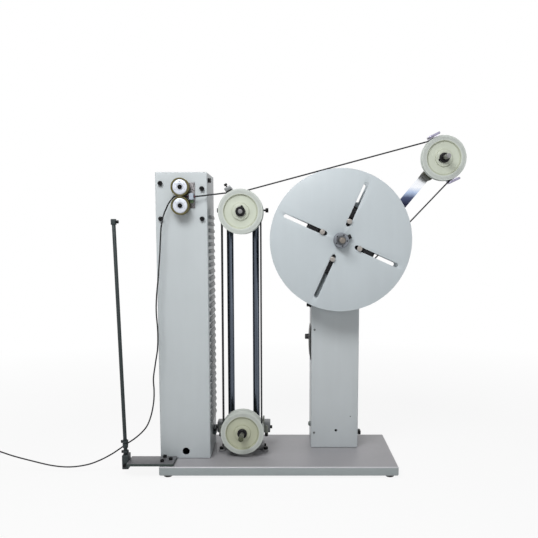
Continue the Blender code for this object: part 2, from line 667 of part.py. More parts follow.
def build_tower():
    shell = folded_box("tower", (TOWER_LEFT_X, TOWER_FRONT_Y, SEAT_Z), (TOWER_RIGHT_X, TOWER_REAR_Y, TOWER_TOP))
    hoods = louvre_prism("louvre_hoods", LOUVRE_DROP, LOUVRE_PROUD, TOWER_WALL / 2, 0, 0)
    fuse(shell, hoods)
    slots = louvre_prism("louvre_slots", LOUVRE_DROP - LOUVRE_SHEET, LOUVRE_PROUD - LOUVRE_SHEET,
                         TOWER_WALL + CUT_OVERRUN, LOUVRE_SHEET, LOUVRE_SHEET * 2)
    slots.location.z = -LOUVRE_SHEET
    left = TOWER_LEFT_X + TOWER_SCREW_SIDE_INSET
    right = TOWER_RIGHT_X - TOWER_SCREW_SIDE_INSET
    forward = (0, -1, 0)
    side_y = TOWER_FRONT_Y + TOWER_SIDE_SCREW_INSET
    fuse_screws(shell, [((left, TOWER_FRONT_Y, TOWER_TOP - TOWER_SCREW_TOP_LEFT), forward),
                        ((right, TOWER_FRONT_Y, TOWER_TOP - TOWER_SCREW_TOP_RIGHT), forward),
                        ((left, TOWER_FRONT_Y, TOWER_TOP - TOWER_SCREW_LOW), forward),
                        ((right, TOWER_FRONT_Y, TOWER_TOP - TOWER_SCREW_LOW), forward),
                        ((TOWER_RIGHT_X, side_y, TOWER_TOP - TOWER_SIDE_SCREW_DROP), (1, 0, 0))])
    front_through = (TOWER_FRONT_Y - CUT_OVERRUN, TOWER_FRONT_Y + TOWER_WALL + CUT_OVERRUN)
    cutters = [slots]
    for height in (LOWER_ROLLER_Z, UPPER_ROLLER_Z):
        cutters.append(rod("shaft_hole", FEED_SHAFT_RADIUS + CUT_OVERRUN / 2, *front_through,
                           origin=(ROLLER_X, 0, height)))
    cutters.append(rod("cable_hole", TOWER_HOLE_RADIUS, *front_through,
                       origin=(TOWER_X + TOWER_HOLE_OFFSET, 0, SEAT_Z + TOWER_HOLE_HEIGHT)))
    cut(shell, *cutters)
    switch_y = ROD_Y
    switch_low = SEAT_Z + SWITCH_LIFT
    block("limit_switch", (TOWER_RIGHT_X + SEAT_GAP, switch_y - SWITCH_DEPTH / 2, switch_low),
          (TOWER_RIGHT_X + SEAT_GAP + SWITCH_PROUD, switch_y + SWITCH_DEPTH / 2, switch_low + SWITCH_HEIGHT),
          MOTOR, bevel=PAN_WALL / 2)


def fuse_screws(carrier, seats):
    """Fuse cap screw heads on the piece that carries them; a seat is a point on its face and the way out."""
    fuse(carrier, gather("cap_screws", [cap_screw("cap_screw", point, towards) for point, towards in seats]))


def gear_outline(teeth, pitch_radius, phase):
    """Tooth outline with straight flanks, four points a tooth."""
    module = 2 * pitch_radius / teeth
    outer = pitch_radius + module * GEAR_ADDENDUM_SHARE
    root = pitch_radius - module * GEAR_DEDENDUM_SHARE
    step = math.tau / teeth
    outline = []
    for tooth in range(teeth):
        middle = phase + tooth * step
        for offset_share, at_tip in GEAR_TOOTH_SHARES:
            radius = outer if at_tip else root
            angle = middle + offset_share * step * GEAR_BACKLASH_SHARE
            outline.append((radius * math.cos(angle), radius * math.sin(angle)))
    return outline


def build_feed_roller(prefix, height, gear_phase):
    """A roller on its shaft, with the gear cut on the shaft behind the motor plate."""
    origin = (ROLLER_X, 0, height)
    shaft_front = ROLLER_REAR_Y - ROLLER_LENGTH - FEED_BOLT_PROUD
    shaft_rear = GEARBOX_FRONT_Y + MOTOR_BORE_DEPTH - SEAT_GAP
    if prefix == "upper":
        shaft_rear = GEARBOX_FRONT_Y - SEAT_GAP
    shaft = rod(prefix + "_feed_shaft", FEED_SHAFT_RADIUS, shaft_front, shaft_rear, STEEL, origin, AXLE_FACETS)
    wheel = extruded("gear_ring", gear_outline(GEAR_TEETH, ROLLER_SPACING / 2, gear_phase),
                     GEAR_FRONT_Y, GEAR_FRONT_Y + GEAR_WIDTH, origin=origin)
    fuse(shaft, wheel)
    bore = FEED_SHAFT_RADIUS + SEAT_GAP
    hub = turned(prefix + "_roller_hub", [(bore, ROLLER_FRONT_Y), (ROLLER_HUB_RADIUS - SHEAVE_CHAMFER, ROLLER_FRONT_Y),
                                          (ROLLER_HUB_RADIUS, ROLLER_FRONT_Y + SHEAVE_CHAMFER),
                                          (ROLLER_HUB_RADIUS, ROLLER_REAR_Y), (bore, ROLLER_REAR_Y)],
                 ALUMINIUM, origin, FINE_FACETS)
    holes = []
    for step in range(ROLLER_FACE_HOLES):
        angle = math.tau * step / ROLLER_FACE_HOLES
        hole_x = ROLLER_X + ROLLER_FACE_HOLE_CIRCLE * math.cos(angle)
        hole_z = height + ROLLER_FACE_HOLE_CIRCLE * math.sin(angle)
        holes.append(rod("face_hole", ROLLER_FACE_HOLE_RADIUS, ROLLER_FRONT_Y - CUT_OVERRUN,
                         ROLLER_FRONT_Y + ROLLER_FACE_HOLE_DEPTH, origin=(hole_x, 0, hole_z), facets=SMALL_FACETS // 2))
    cut(hub, gather("face_holes", holes))
    inside = ROLLER_HUB_RADIUS + SEAT_GAP
    groove = ROLLER_RADIUS - ROLLER_GROOVE_DEPTH
    turned(prefix + "_roller_tyre", [(inside, ROLLER_FRONT_Y), (ROLLER_RADIUS, ROLLER_FRONT_Y),
                                     (ROLLER_RADIUS, NIP_Y - ROLLER_GROOVE_HALF), (groove, NIP_Y - ROLLER_GROOVE_HALF / 2),
                                     (groove, NIP_Y + ROLLER_GROOVE_HALF / 2), (ROLLER_RADIUS, NIP_Y + ROLLER_GROOVE_HALF),
                                     (ROLLER_RADIUS, ROLLER_REAR_Y), (inside, ROLLER_REAR_Y)],
           TYRE, origin, FINE_FACETS)


def build_feed_drive():
    plate_top = TOWER_TOP - MOTOR_PLATE_TOP_DROP
    plate = block("motor_plate", (TOWER_X - MOTOR_PLATE_WIDTH / 2, PLATE_FRONT_Y, plate_top - MOTOR_PLATE_HEIGHT),
                  (TOWER_X + MOTOR_PLATE_WIDTH / 2, PLATE_REAR_Y, plate_top), STEEL)
    holes = []
    for height in (LOWER_ROLLER_Z, UPPER_ROLLER_Z):
        holes.append(rod("plate_hole", FEED_SHAFT_RADIUS + RUN_GAP, PLATE_FRONT_Y - CUT_OVERRUN,
                         PLATE_REAR_Y + CUT_OVERRUN, origin=(ROLLER_X, 0, height)))
    cut(plate, *holes)
    half = GEARBOX_WIDTH / 2
    box = block("feed_motor", (-half, GEARBOX_FRONT_Y, -half), (half, GEARBOX_FRONT_Y + GEARBOX_DEPTH, half),
                MOTOR, (ROLLER_X, 0, LOWER_ROLLER_Z))
    can = rod("motor_can", MOTOR_RADIUS, GEARBOX_FRONT_Y + GEARBOX_DEPTH / 2,
              GEARBOX_FRONT_Y + GEARBOX_DEPTH + MOTOR_LENGTH, origin=(ROLLER_X, 0, LOWER_ROLLER_Z))
    posts = []
    for side in (-1, 1):
        for lift in (-1, 1):
            reach = half - GEARBOX_POST_INSET
            posts.append(rod("post", GEARBOX_POST_RADIUS, PLATE_REAR_Y + SEAT_GAP, GEARBOX_FRONT_Y + GEARBOX_DEPTH / 2,
                             origin=(ROLLER_X + side * reach, 0, LOWER_ROLLER_Z + lift * reach), facets=SMALL_FACETS))
    fuse(box, can, *posts)
    cut(box, rod("motor_bore", FEED_SHAFT_RADIUS + RUN_GAP, GEARBOX_FRONT_Y - CUT_OVERRUN,
                 GEARBOX_FRONT_Y + MOTOR_BORE_DEPTH, origin=(ROLLER_X, 0, LOWER_ROLLER_Z)))
    half_tooth = math.pi / GEAR_TEETH
    build_feed_roller("lower", LOWER_ROLLER_Z, 0)
    build_feed_roller("upper", UPPER_ROLLER_Z, half_tooth)
    plate_rear = TOWER_FRONT_Y - SEAT_GAP
    plate_front = plate_rear - GUIDE_PLATE_WALL
    middle = NIP_Z + GUIDE_PLATE_LIFT
    block("guide_plate", (GUIDE_X - GUIDE_PLATE_WIDTH / 2, plate_front, middle - GUIDE_PLATE_HEIGHT / 2),
          (GUIDE_X + GUIDE_PLATE_WIDTH / 2, plate_rear, middle + GUIDE_PLATE_HEIGHT / 2), GREY_STEEL)
    guide = block("wire_guide_block", (GUIDE_X - GUIDE_WIDTH / 2, NIP_Y - GUIDE_FRONT_PROUD, NIP_Z - GUIDE_HEIGHT / 2),
                  (GUIDE_X + GUIDE_WIDTH / 2, plate_front - SEAT_GAP, NIP_Z + GUIDE_HEIGHT / 2), CERAMIC)
    cut(guide, rod("guide_bore", GUIDE_BORE_RADIUS, GUIDE_X - GUIDE_WIDTH, GUIDE_X + GUIDE_WIDTH,
                   origin=(0, NIP_Y, NIP_Z), facets=SMALL_FACETS, axis="X"))


def post_frame(item):
    """Stand a piece made upright at the post's foot along the leaning post."""
    turn_mesh(item, POST_TURN)
    item.location = POST_FOOT
    return item


def build_post():
    plate_left = POST_BLOCK_RIGHT_X + SEAT_GAP
    plate_front = BASE_FRONT_Y + FOOT_PLATE_FRONT_INSET
    plate_right = plate_left + FOOT_PLATE_WIDTH
    plate_rear = plate_front + FOOT_PLATE_DEPTH
    plate_top = SEAT_Z + FOOT_PLATE_WALL
    plate = block("foot_plate", (plate_left, plate_front, SEAT_Z), (plate_right, plate_rear, plate_top), DARK)
    fuse_screws(plate, [((plate_right - from_right, plate_rear - from_rear, plate_top), (0, 0, 1))
                        for from_right, from_rear in FOOT_SCREW_PLACES])
    base = block("post_block", (-POST_BLOCK_WIDTH / 2, -POST_BLOCK_DEPTH / 2, -POST_BLOCK_HEIGHT),
                 (POST_BLOCK_WIDTH / 2, POST_BLOCK_DEPTH / 2, 0), DARK, POST_FOOT, PAN_WALL / 2)
    bore = rod("post_bore", POST_RADIUS + SEAT_GAP, -POST_BURY - SEAT_GAP, CUT_OVERRUN, facets=AXLE_FACETS, axis="Z")
    cut(base, post_frame(bore))
    post = rod("guide_post", POST_RADIUS, -POST_BURY, POST_LENGTH - POST_BURY, DARK, facets=AXLE_FACETS, axis="Z")
    inside = POST_RADIUS + SEAT_GAP
    for lift in (COLLAR_LOWER_LIFT, COLLAR_UPPER_LIFT):
        collar = rod("collar", COLLAR_RADIUS, lift, lift + COLLAR_HEIGHT, facets=AXLE_FACETS, axis="Z")
        knob = rod("knob", COLLAR_KNOB_RADIUS, -COLLAR_RADIUS - COLLAR_KNOB_LENGTH, -POST_RADIUS / 2,
                   origin=(0, 0, lift + COLLAR_HEIGHT / 2), facets=SMALL_FACETS, axis="X")
        fuse(post, collar, knob)
    post_frame(post)
    top = POST_LENGTH - POST_BURY
    half = POST_CAP_WIDTH / 2
    cap = block("post_cap", (-half, -half, top + POST_CAP_PROUD - POST_CAP_HEIGHT),
                (half, half, top + POST_CAP_PROUD), DARK)
    cut(cap, rod("cap_bore", inside, top - POST_CAP_HEIGHT * 2, top + SEAT_GAP, facets=AXLE_FACETS, axis="Z"))
    knob = rod("cap_knob", COLLAR_KNOB_RADIUS, half / 2 + POST_RADIUS / 2, half + COLLAR_KNOB_LENGTH,
               origin=(0, 0, top + POST_CAP_PROUD - POST_CAP_HEIGHT / 2), facets=SMALL_FACETS, axis="X")
    post_frame(fuse(cap, knob))
    low = EYELET_LIFT - EYELET_HUB_HEIGHT / 2
    high = EYELET_LIFT + EYELET_HUB_HEIGHT / 2
    hub = turned("wire_eyelet", [(inside, low), (COLLAR_RADIUS, low), (COLLAR_RADIUS, high), (inside, high)],
                 BRONZE, facets=AXLE_FACETS, axis="Z")
    ring = rod("eyelet_ring", EYELET_RING_RADIUS, -EYELET_WIDTH / 2, EYELET_WIDTH / 2,
               origin=(0, EYELET_ARM_LENGTH, EYELET_LIFT), facets=AXLE_FACETS, axis="X")
    fuse(hub, ring)
    cut(hub, rod("eyelet_bore", EYELET_BORE_RADIUS, -EYELET_WIDTH, EYELET_WIDTH,
                 origin=(0, EYELET_ARM_LENGTH, EYELET_LIFT), facets=SMALL_FACETS, axis="X"))
    post_frame(hub)


def sheave_profile(outer, half):
    """Section of a grooved nylon pulley about its own middle plane."""
    bore = AXLE_RADIUS + RUN_GAP
    recess = half - SHEAVE_RECESS_DEPTH
    return [(bore, -half), (SHEAVE_BOSS_RADIUS, -half), (SHEAVE_BOSS_RADIUS, -recess),
            (SHEAVE_RECESS_RADIUS, -recess), (SHEAVE_RECESS_RADIUS, -half), (outer, -half),
            (outer, SHEAVE_FLANGE - half), (SHEAVE_GROOVE_RADIUS, -SHEAVE_GROOVE_HALF),
            (SHEAVE_GROOVE_RADIUS, SHEAVE_GROOVE_HALF), (outer, half - SHEAVE_FLANGE), (outer, half),
            (SHEAVE_RECESS_RADIUS, half), (SHEAVE_RECESS_RADIUS, recess),
            (SHEAVE_BOSS_RADIUS, recess), (SHEAVE_BOSS_RADIUS, half), (bore, half)]


def build_sheave(name, x, y, z, outer=SHEAVE_RADIUS):
    return turned(name, sheave_profile(outer, SHEAVE_WIDTH / 2), NYLON, (x, y, z), ROUND_FACETS)


def stepped_axle(name, x, z, planes, seat_y, proud, shoulder_rear):
    """A shouldered axle with its set collar: the sheaves turn between the two."""
    rear_face = planes[-1] + SHEAVE_WIDTH / 2
    collar_rear = planes[0] - SHEAVE_WIDTH / 2 - RUN_GAP
    collar_front = collar_rear - AXLE_COLLAR_LENGTH
    front = collar_front - proud
    profile = [(0, seat_y), (AXLE_RADIUS, seat_y), (AXLE_RADIUS, shoulder_rear),
               (AXLE_SHOULDER_RADIUS, shoulder_rear), (AXLE_SHOULDER_RADIUS, rear_face + RUN_GAP),
               (AXLE_RADIUS, rear_face + RUN_GAP), (AXLE_RADIUS, collar_rear), (AXLE_COLLAR_RADIUS, collar_rear),
               (AXLE_COLLAR_RADIUS, collar_front), (AXLE_RADIUS, collar_front),
               (AXLE_RADIUS, front + SHEAVE_CHAMFER), (AXLE_RADIUS - SHEAVE_CHAMFER, front), (0, front)]
    return turned(name, profile, STEEL, (x, 0, z), AXLE_FACETS)


def side_seats(width, height):
    """Seats of the clamp screws in both ends of a block that holds the guide rods."""
    return [((ACC_X + side * width / 2, ROD_Y, height), (side, 0, 0)) for side in (-1, 1)]


def build_accumulator():
    rod_places = (ACC_X - ROD_SPACING / 2, ACC_X + ROD_SPACING / 2)
    foot_z = SEAT_Z + SEAT_GAP
    for side, rod_x in zip(("left", "right"), rod_places):
        rod("guide_rod_" + side, ROD_RADIUS, foot_z, ROD_TOP, CHROME, (rod_x, ROD_Y, 0), AXLE_FACETS, "Z",
            SHEAVE_CHAMFER)

    def rod_bores(radius, low, high):
        return [rod("rod_bore", radius, low, high, origin=(rod_x, ROD_Y, 0), facets=AXLE_FACETS, axis="Z")
                for rod_x in rod_places]

    half_d = ROD_BLOCK_DEPTH / 2
    base = block("rod_base_block", (ACC_X - ROD_BLOCK_WIDTH / 2, ROD_Y - half_d, SEAT_Z),
                 (ACC_X + ROD_BLOCK_WIDTH / 2, ROD_Y + half_d, SEAT_Z + ROD_BLOCK_FLANGE), GREY_STEEL)
    uprights = []
    for rod_x in rod_places:
        uprights.append(block("upright", (rod_x - ROD_BLOCK_POST_WIDTH / 2, ROD_Y - half_d + PAN_WALL, SEAT_Z + PAN_WALL),
                              (rod_x + ROD_BLOCK_POST_WIDTH / 2, ROD_Y + half_d - PAN_WALL, ROD_BLOCK_TOP)))
    fuse(base, *uprights)
    fuse_screws(base, side_seats(ROD_BLOCK_WIDTH, SEAT_Z + ROD_BLOCK_FLANGE / 2))
    cut(base, *rod_bores(ROD_RADIUS + SEAT_GAP, BASE_TOP - CUT_OVERRUN, ROD_BLOCK_TOP + CUT_OVERRUN))
    low = BRACKET_CENTRE_Z - BRACKET_HEIGHT / 2
    high = BRACKET_CENTRE_Z + BRACKET_HEIGHT / 2
    bracket = block("top_bracket", (ACC_X - BRACKET_WIDTH / 2, BRACKET_FRONT_Y, low),
                    (ACC_X + BRACKET_WIDTH / 2, BRACKET_FRONT_Y + BRACKET_DEPTH, high), GREY_STEEL, bevel=PAN_WALL,
                    edges="Y")
    cut(bracket, *rod_bores(ROD_RADIUS + SEAT_GAP, low - CUT_OVERRUN, high + CUT_OVERRUN),
        rod("axle_bore", AXLE_RADIUS + SEAT_GAP, BRACKET_FRONT_Y - CUT_OVERRUN,
            BRACKET_FRONT_Y + BRACKET_DEPTH + CUT_OVERRUN, origin=(ACC_X, 0, UPPER_AXIS_Z)))
    fuse_screws(bracket, side_seats(BRACKET_WIDTH, BRACKET_CENTRE_Z))
    for name, plane in zip(("front", "middle", "rear"), UPPER_PLANES):
        build_sheave("upper_sheave_" + name, ACC_X, plane, UPPER_AXIS_Z)
    stepped_axle("upper_axle", ACC_X, UPPER_AXIS_Z, UPPER_PLANES, BRACKET_FRONT_Y + BRACKET_DEPTH,
                 UPPER_AXLE_PROUD, BRACKET_FRONT_Y - SEAT_GAP)
    build_keeper(high)


def build_keeper(bracket_top):
    """Bar over the sheaves' rims that keeps the wire in its grooves, on a leg from the top bracket."""
    inner = SHEAVE_RADIUS + KEEPER_CLEARANCE
    outward = Vector((math.cos(KEEPER_ANGLE), math.sin(KEEPER_ANGLE)))
    along = Vector((-outward.y, outward.x))
    outline = []
    for reach, slide in ((inner, -1), (inner + KEEPER_THICKNESS, -1), (inner + KEEPER_THICKNESS, 1), (inner, 1)):
        spot = outward * reach + along * (slide * KEEPER_WIDTH / 2)
        outline.append((ACC_X + spot.x, UPPER_AXIS_Z + spot.y))
    front = UPPER_PLANES[0] - SHEAVE_WIDTH / 2
    leg_rear = BRACKET_FRONT_Y + KEEPER_LEG_DEPTH
    bar = extruded("wire_keeper", outline, front, leg_rear, GREY_STEEL)
    middle = outward * (inner + KEEPER_THICKNESS / 2)
    leg_x = ACC_X + middle.x
    leg = block("keeper_leg", (leg_x - KEEPER_THICKNESS / 2, BRACKET_FRONT_Y, bracket_top + SEAT_GAP),
                (leg_x + KEEPER_THICKNESS / 2, leg_rear, UPPER_AXIS_Z + middle.y))
    fuse(bar, leg)


def build_carriage():
    middle = LOWER_AXIS_Z - CARRIAGE_DROP
    low = middle - CARRIAGE_HEIGHT / 2
    high = middle + CARRIAGE_HEIGHT / 2
    front = ROD_Y - CARRIAGE_DEPTH / 2
    body = block("carriage", (ACC_X - CARRIAGE_WIDTH / 2, front, low),
                 (ACC_X + CARRIAGE_WIDTH / 2, front + CARRIAGE_DEPTH, high), GREY_STEEL, bevel=PAN_WALL, edges="Y")
    cutters = [rod("axle_bore", AXLE_RADIUS + SEAT_GAP, front - CUT_OVERRUN, front + CARRIAGE_DEPTH + CUT_OVERRUN,
                   origin=(ACC_X, 0, LOWER_AXIS_Z))]
    bushes = []
    for side in (-1, 1):
        rod_x = ACC_X + side * ROD_SPACING / 2
        bushes.append(rod("bush", BUSH_RADIUS, middle, high + BUSH_PROUD, origin=(rod_x, ROD_Y, 0),
                          facets=AXLE_FACETS, axis="Z"))
        cutters.append(rod("rod_bore", ROD_RADIUS + RUN_GAP, low - CUT_OVERRUN, high + CUT_OVERRUN * 2,
                           origin=(rod_x, ROD_Y, 0), facets=AXLE_FACETS, axis="Z"))
    fuse(body, gather("bushes", bushes))
    cut(body, gather("bores", cutters))
    for name, plane in zip(("front", "rear"), LOWER_PLANES):
        build_sheave("lower_sheave_" + name, ACC_X, plane, LOWER_AXIS_Z)
    stepped_axle("lower_axle", ACC_X, LOWER_AXIS_Z, LOWER_PLANES, front + CARRIAGE_DEPTH,
                 LOWER_AXLE_PROUD, front - SEAT_GAP)


def build_column():
    shell = folded_box("column", (COLUMN_LEFT_X, COLUMN_FRONT_Y, SEAT_Z),
                       (COLUMN_LEFT_X + COLUMN_WIDTH, COLUMN_REAR_Y, COLUMN_TOP))
    holes = [rod("housing_hole", HOUSING_RADIUS + SEAT_GAP, COLUMN_FRONT_Y - CUT_OVERRUN,
                 COLUMN_FRONT_Y + TOWER_WALL + CUT_OVERRUN, origin=(REEL_X, 0, REEL_Z), facets=FINE_FACETS),
             rod("pivot_hole", ARM_PIVOT_RADIUS + SEAT_GAP, COLUMN_FRONT_Y - CUT_OVERRUN,
                 COLUMN_FRONT_Y + TOWER_WALL + CUT_OVERRUN, origin=(ARM_PIVOT_X, 0, ARM_PIVOT_Z))]
    cut(shell, *holes)
    flange_rear = COLUMN_FRONT_Y - SEAT_GAP
    flange_front = flange_rear - HOUSING_FLANGE
    inside = REEL_SHAFT_RADIUS + RUN_GAP
    housing_rear = COLUMN_FRONT_Y + HOUSING_LENGTH
    turned("reel_bearing_housing", [(inside, flange_front), (HOUSING_FLANGE_RADIUS, flange_front),
                                    (HOUSING_FLANGE_RADIUS, flange_rear), (HOUSING_RADIUS, flange_rear),
                                    (HOUSING_RADIUS, housing_rear), (inside, housing_rear)],
           GREY_STEEL, (REEL_X, 0, REEL_Z), FINE_FACETS)
    motor_front = housing_rear + SEAT_GAP
    motor = rod("reel_motor", REEL_MOTOR_RADIUS, motor_front, motor_front + REEL_MOTOR_LENGTH, MOTOR,
                (REEL_X, 0, REEL_Z), chamfer=SHEAVE_CHAMFER)
    cut(motor, rod("motor_bore", REEL_SHAFT_RADIUS + RUN_GAP, motor_front - CUT_OVERRUN,
                   motor_front + REEL_MOTOR_BORE, origin=(REEL_X, 0, REEL_Z)))
    build_panel()


def build_panel():
    """Bowed control plate on the column's left side, with its knob."""
    front = COLUMN_FRONT_Y + PANEL_FRONT_INSET
    wall_x = COLUMN_LEFT_X - SEAT_GAP
    outline = [(wall_x, PANEL_Z - PANEL_HEIGHT / 2), (wall_x, PANEL_Z + PANEL_HEIGHT / 2)]
    for step in range(PANEL_STEPS + 1):
        share = step / PANEL_STEPS
        bow = PANEL_WALL + PANEL_BOW * math.sin(math.pi * share)
        outline.append((wall_x - bow, PANEL_Z + PANEL_HEIGHT * (1 / 2 - share)))
    plate = extruded("control_plate", outline, front, front + PANEL_DEPTH, MOTOR)
    knob_z = PANEL_Z + KNOB_LIFT
    knob_y = front + PANEL_DEPTH / 2
    face_x = wall_x - PANEL_WALL - PANEL_BOW
    cut(plate, rod("spindle_hole", KNOB_SPINDLE_RADIUS + RUN_GAP, face_x - CUT_OVERRUN, face_x + PANEL_WALL + PANEL_BOW / 2,
                   origin=(0, knob_y, knob_z), facets=SMALL_FACETS, axis="X"))
    outline = []
    for step in range(KNOB_FLUTES * 3):
        angle = math.tau * step / (KNOB_FLUTES * 3)
        radius = KNOB_RADIUS if step % 3 else KNOB_RADIUS * KNOB_FLUTE_SHARE
        outline.append((radius * math.cos(angle), radius * math.sin(angle)))
    knob = extruded("control_knob", outline, face_x - SEAT_GAP - KNOB_LENGTH, face_x - SEAT_GAP, BLACK,
                    (0, knob_y, knob_z), axis="X")
    fuse(knob, rod("spindle", KNOB_SPINDLE_RADIUS, face_x - KNOB_LENGTH / 2, face_x + PANEL_WALL,
                   origin=(0, knob_y, knob_z), facets=SMALL_FACETS, axis="X"))


def slot_cutter(angle, low_y, high_y):
    """A radial slot with round ends."""
    outline = []
    half = SLOT_WIDTH / 2
    for centre, start in ((SLOT_OUTER_RADIUS - half, -math.pi / 2), (SLOT_INNER_RADIUS + half, math.pi / 2)):
        for step in range(SLOT_END_STEPS + 1):
            bend = start + math.pi * step / SLOT_END_STEPS
            outline.append((centre + half * math.cos(bend), half * math.sin(bend)))
    turned_outline = []
    for along, across in outline:
        turned_outline.append((REEL_X + along * math.cos(angle) - across * math.sin(angle),
                               REEL_Z + along * math.sin(angle) + across * math.cos(angle)))
    return extruded("slot", turned_outline, low_y, high_y)


def build_pins(rear_disc):
    """Pins riveted in the rear disc that run through the front disc's slots to their heads."""
    pins = []
    front = FRONT_DISC_Y - SEAT_GAP
    head = front - PIN_HEAD_LENGTH
    for step in range(SLOT_COUNT):
        angle = SLOT_ANGLE + math.tau * step / SLOT_COUNT
        pin_x = REEL_X + PIN_CIRCLE * math.cos(angle)
        pin_z = REEL_Z + PIN_CIRCLE * math.sin(angle)
        pins.append(turned("pin", [(0, head), (PIN_HEAD_RADIUS, head), (PIN_HEAD_RADIUS, front),
                                   (PIN_RADIUS, front), (PIN_RADIUS, REAR_DISC_Y - SEAT_GAP),
                                   (PIN_FLANGE_RADIUS, REAR_DISC_Y - SEAT_GAP),
                                   (PIN_FLANGE_RADIUS, REAR_DISC_Y + DISC_WALL / 2), (0, REAR_DISC_Y + DISC_WALL / 2)],
                           origin=(pin_x, 0, pin_z), facets=SMALL_FACETS + 2))
    fuse(rear_disc, gather("pins", pins))


def build_reel():
    inside = REEL_SHAFT_RADIUS + SEAT_GAP
    for name, front in (("front_disc", FRONT_DISC_Y), ("rear_disc", REAR_DISC_Y)):
        rear = front + DISC_WALL
        disc = turned(name, [(inside, front), (DISC_RADIUS, front), (DISC_RADIUS, rear), (inside, rear)],
                      DISC_GREY, (REEL_X, 0, REEL_Z), DISC_FACETS)
        slots = [slot_cutter(SLOT_ANGLE + math.tau * step / SLOT_COUNT, front - CUT_OVERRUN, rear + CUT_OVERRUN)
                 for step in range(SLOT_COUNT)]
        cut(disc, *slots)
    build_pins(disc)
    collar_rear = FRONT_DISC_Y - SEAT_GAP
    collar_front = collar_rear - CLAMP_COLLAR_LENGTH
    collar = turned("clamp_collar", [(inside, collar_front), (CLAMP_COLLAR_RADIUS - SHEAVE_CHAMFER, collar_front),
                                     (CLAMP_COLLAR_RADIUS, collar_front + SHEAVE_CHAMFER),
                                     (CLAMP_COLLAR_RADIUS, collar_rear), (inside, collar_rear)],
                    GREY_STEEL, (REEL_X, 0, REEL_Z), ROUND_FACETS)
    middle_y = (collar_rear + collar_front) / 2
    thumb = rod("thumb_screw", THUMB_SCREW_RADIUS, CLAMP_COLLAR_RADIUS - CUT_OVERRUN,
                CLAMP_COLLAR_RADIUS + THUMB_SCREW_LENGTH, origin=(REEL_X, middle_y, REEL_Z), facets=SMALL_FACETS, axis="X")
    turn_mesh(thumb, Matrix.Rotation(-math.radians(24), 4, "Y"))
    fuse(collar, thumb)
    shaft_front = collar_front - REEL_SHAFT_PROUD + CLAMP_COLLAR_LENGTH
    rear_disc_rear = REAR_DISC_Y + DISC_WALL
    flange_front = COLUMN_FRONT_Y - SEAT_GAP - HOUSING_FLANGE
    shaft_rear = COLUMN_FRONT_Y + HOUSING_LENGTH + REEL_MOTOR_BORE - SEAT_GAP
    turned("reel_shaft", [(0, shaft_front), (REEL_SHAFT_RADIUS - SHEAVE_CHAMFER, shaft_front),
                          (REEL_SHAFT_RADIUS, shaft_front + SHEAVE_CHAMFER),
                          (REEL_SHAFT_RADIUS, rear_disc_rear + SEAT_GAP), (DISC_HUB_RADIUS, rear_disc_rear + SEAT_GAP),
                          (DISC_HUB_RADIUS, flange_front - RUN_GAP), (REEL_SHAFT_RADIUS, flange_front - RUN_GAP),
                          (REEL_SHAFT_RADIUS, shaft_rear), (0, shaft_rear)], STEEL, (REEL_X, 0, REEL_Z), ROUND_FACETS)


def arm_frame(item):
    """Turn a piece made along +X from the pivot to the arm's rest angle."""
    turn_mesh(item, Matrix.Rotation(-ARM_ANGLE, 4, "Y"))
    item.location = (ARM_PIVOT_X, 0, ARM_PIVOT_Z)
    return item


